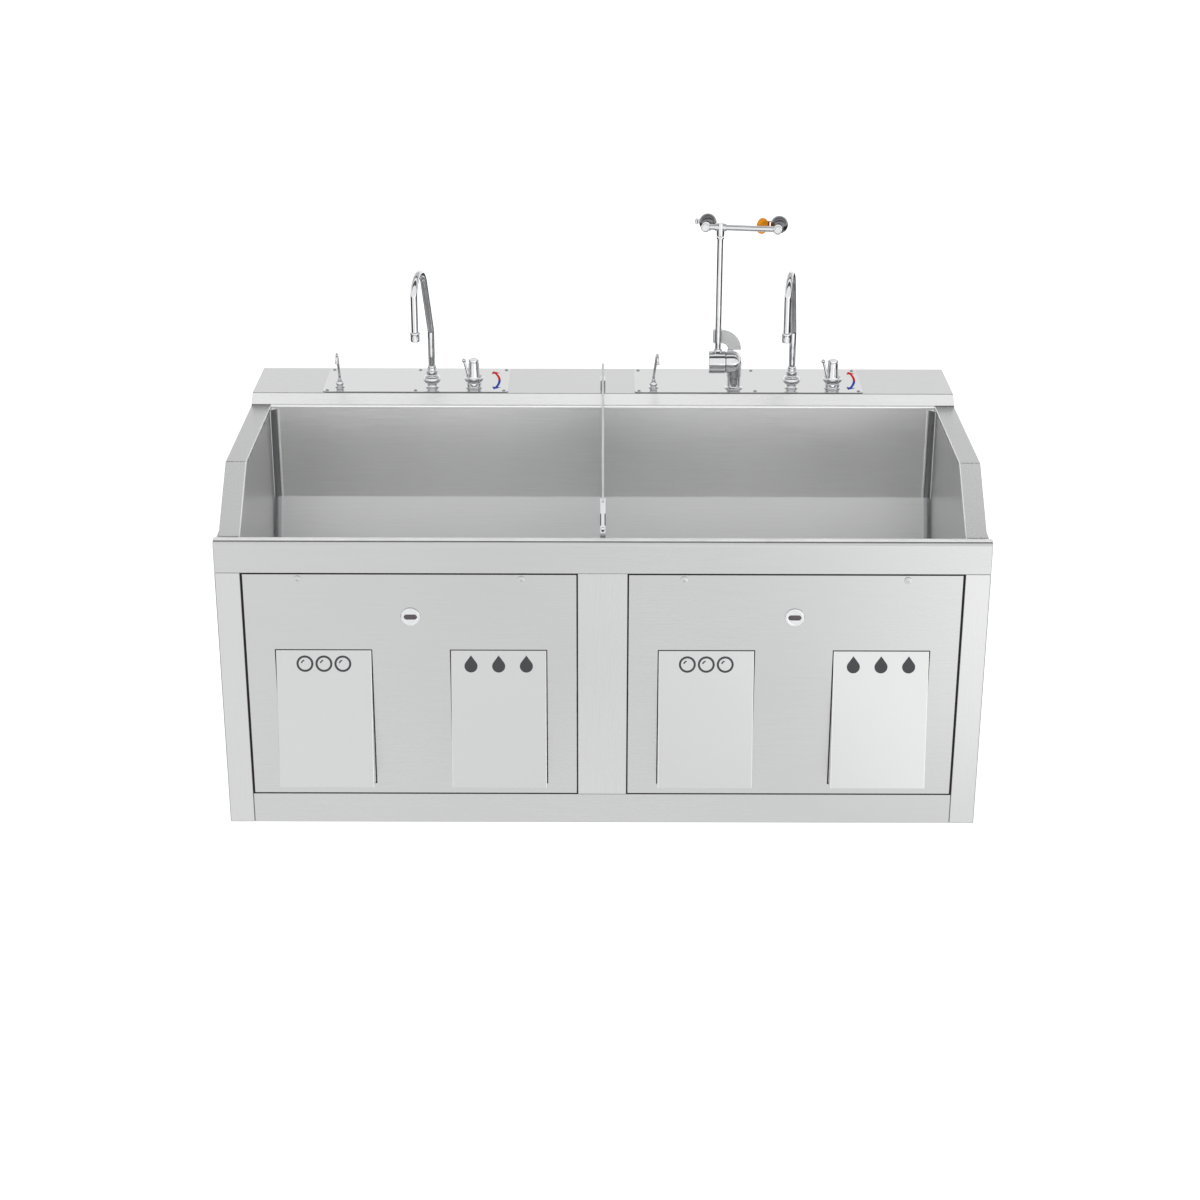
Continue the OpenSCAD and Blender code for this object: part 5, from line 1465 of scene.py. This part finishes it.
def addFloor():
    bm = bmesh.new()
    h = studio["floorHalf"]
    for x, y in ((-h, -h), (h, -h), (h, h), (-h, h)):
        bm.verts.new((x, y, studio["floorHeight"]))
    bm.faces.new(bm.verts)
    floor = addObject("floor", bm)
    material, tree, shader = newMaterial("pale_floor")
    where = addNode(tree, "ShaderNodeTexCoord")
    split = addNode(tree, "ShaderNodeSeparateXYZ", {"Vector": where.outputs["Object"]})
    across, back = split.outputs["X"], split.outputs["Y"]
    # lighter at the right, a little less in the middle, and only behind the camera's half
    side = arithmetic(
        tree, "ADD", spread(tree, across, 0, studio["sideGlow"], *studio["sideFrom"]),
        spread(tree, arithmetic(tree, "ABSOLUTE", across, 0.0), studio["middleDip"], 0,
               *studio["middleFrom"]))
    glow = arithmetic(tree, "MULTIPLY", side, spread(tree, back, 1, 0, *studio["frontFade"]))
    plug(tree, shader, {
        "Base Color": mottled(tree, noise(tree, 0.8), studio["floorTone"], 0.97),
        "Roughness": 0.8, "Emission Color": (1, 1, 1, 1),
        "Emission Strength": arithmetic(tree, "ADD", glow, studio["floorGlow"]),
    })
    floor.data.materials.append(material)


# Dark flags on the floor at the sides, which only the polished fittings mirror
flags = {"tone": 0.10, "near": 1.7, "far": 9.0, "from": 58, "to": 174, "steps": 12, "back": 0.15,
         "lift": 0.004}


def addFlags():
    f = flags
    material, tree, shader = newMaterial("flag_cloth")
    plug(tree, shader, {
        "Base Color": mottled(tree, noise(tree, 30.0), [f["tone"]] * 3, 0.8),
        "Roughness": 1.0, "Specular IOR Level": 0.0,
    })
    for side in (-1, 1):
        rows = []
        for k in range(f["steps"] + 1):
            a = math.radians(f["from"] + (f["to"] - f["from"]) * k / f["steps"]) * side
            rows.append([Vector((r * math.sin(a), -r * math.cos(a) - f["back"],
                                 studio["floorHeight"] + f["lift"]))
                         for r in (f["near"], f["far"])])
        bm = bmesh.new()
        skinRows(bm, rows)
        flag = addObject("flag_0_%d" % (side + 1), bm)
        flag.data.materials.append(material)
        flag.visible_camera = flag.visible_diffuse = flag.visible_shadow = False


def addWorld():
    world = bpy.data.worlds.new("studio")
    bpy.context.scene.world = world
    world.use_nodes = True
    tree = world.node_tree
    tree.nodes.clear()
    where = addNode(tree, "ShaderNodeTexCoord")
    split = addNode(tree, "ShaderNodeSeparateXYZ", {"Vector": where.outputs["Generated"]})
    # from the horizon in front, over the top, to the horizon behind
    forward = arithmetic(tree, "MULTIPLY", split.outputs["Y"], -1.0)
    over = arithmetic(tree, "ARCTAN2", split.outputs["Z"], forward)
    ramp = addNode(tree, "ShaderNodeValToRGB", {"Fac": spread(tree, over, 0, 1, 0.0, math.pi)})
    stops = ramp.color_ramp.elements
    for end, value in enumerate(studio["horizons"]):
        stops[end].position, stops[end].color = end, (value, value, value, 1)
    for angle, value in studio["sky"]:
        stops.new(angle / 180).color = (value, value, value, 1)
    back = addNode(tree, "ShaderNodeBackground",
                   {"Color": ramp.outputs["Color"], "Strength": studio["light"]})
    addNode(tree, "ShaderNodeOutputWorld", {"Surface": back.outputs["Background"]})


addFloor()
addFlags()
addWorld()
bpy.context.scene.view_settings.view_transform = "Standard"
print("studio made")
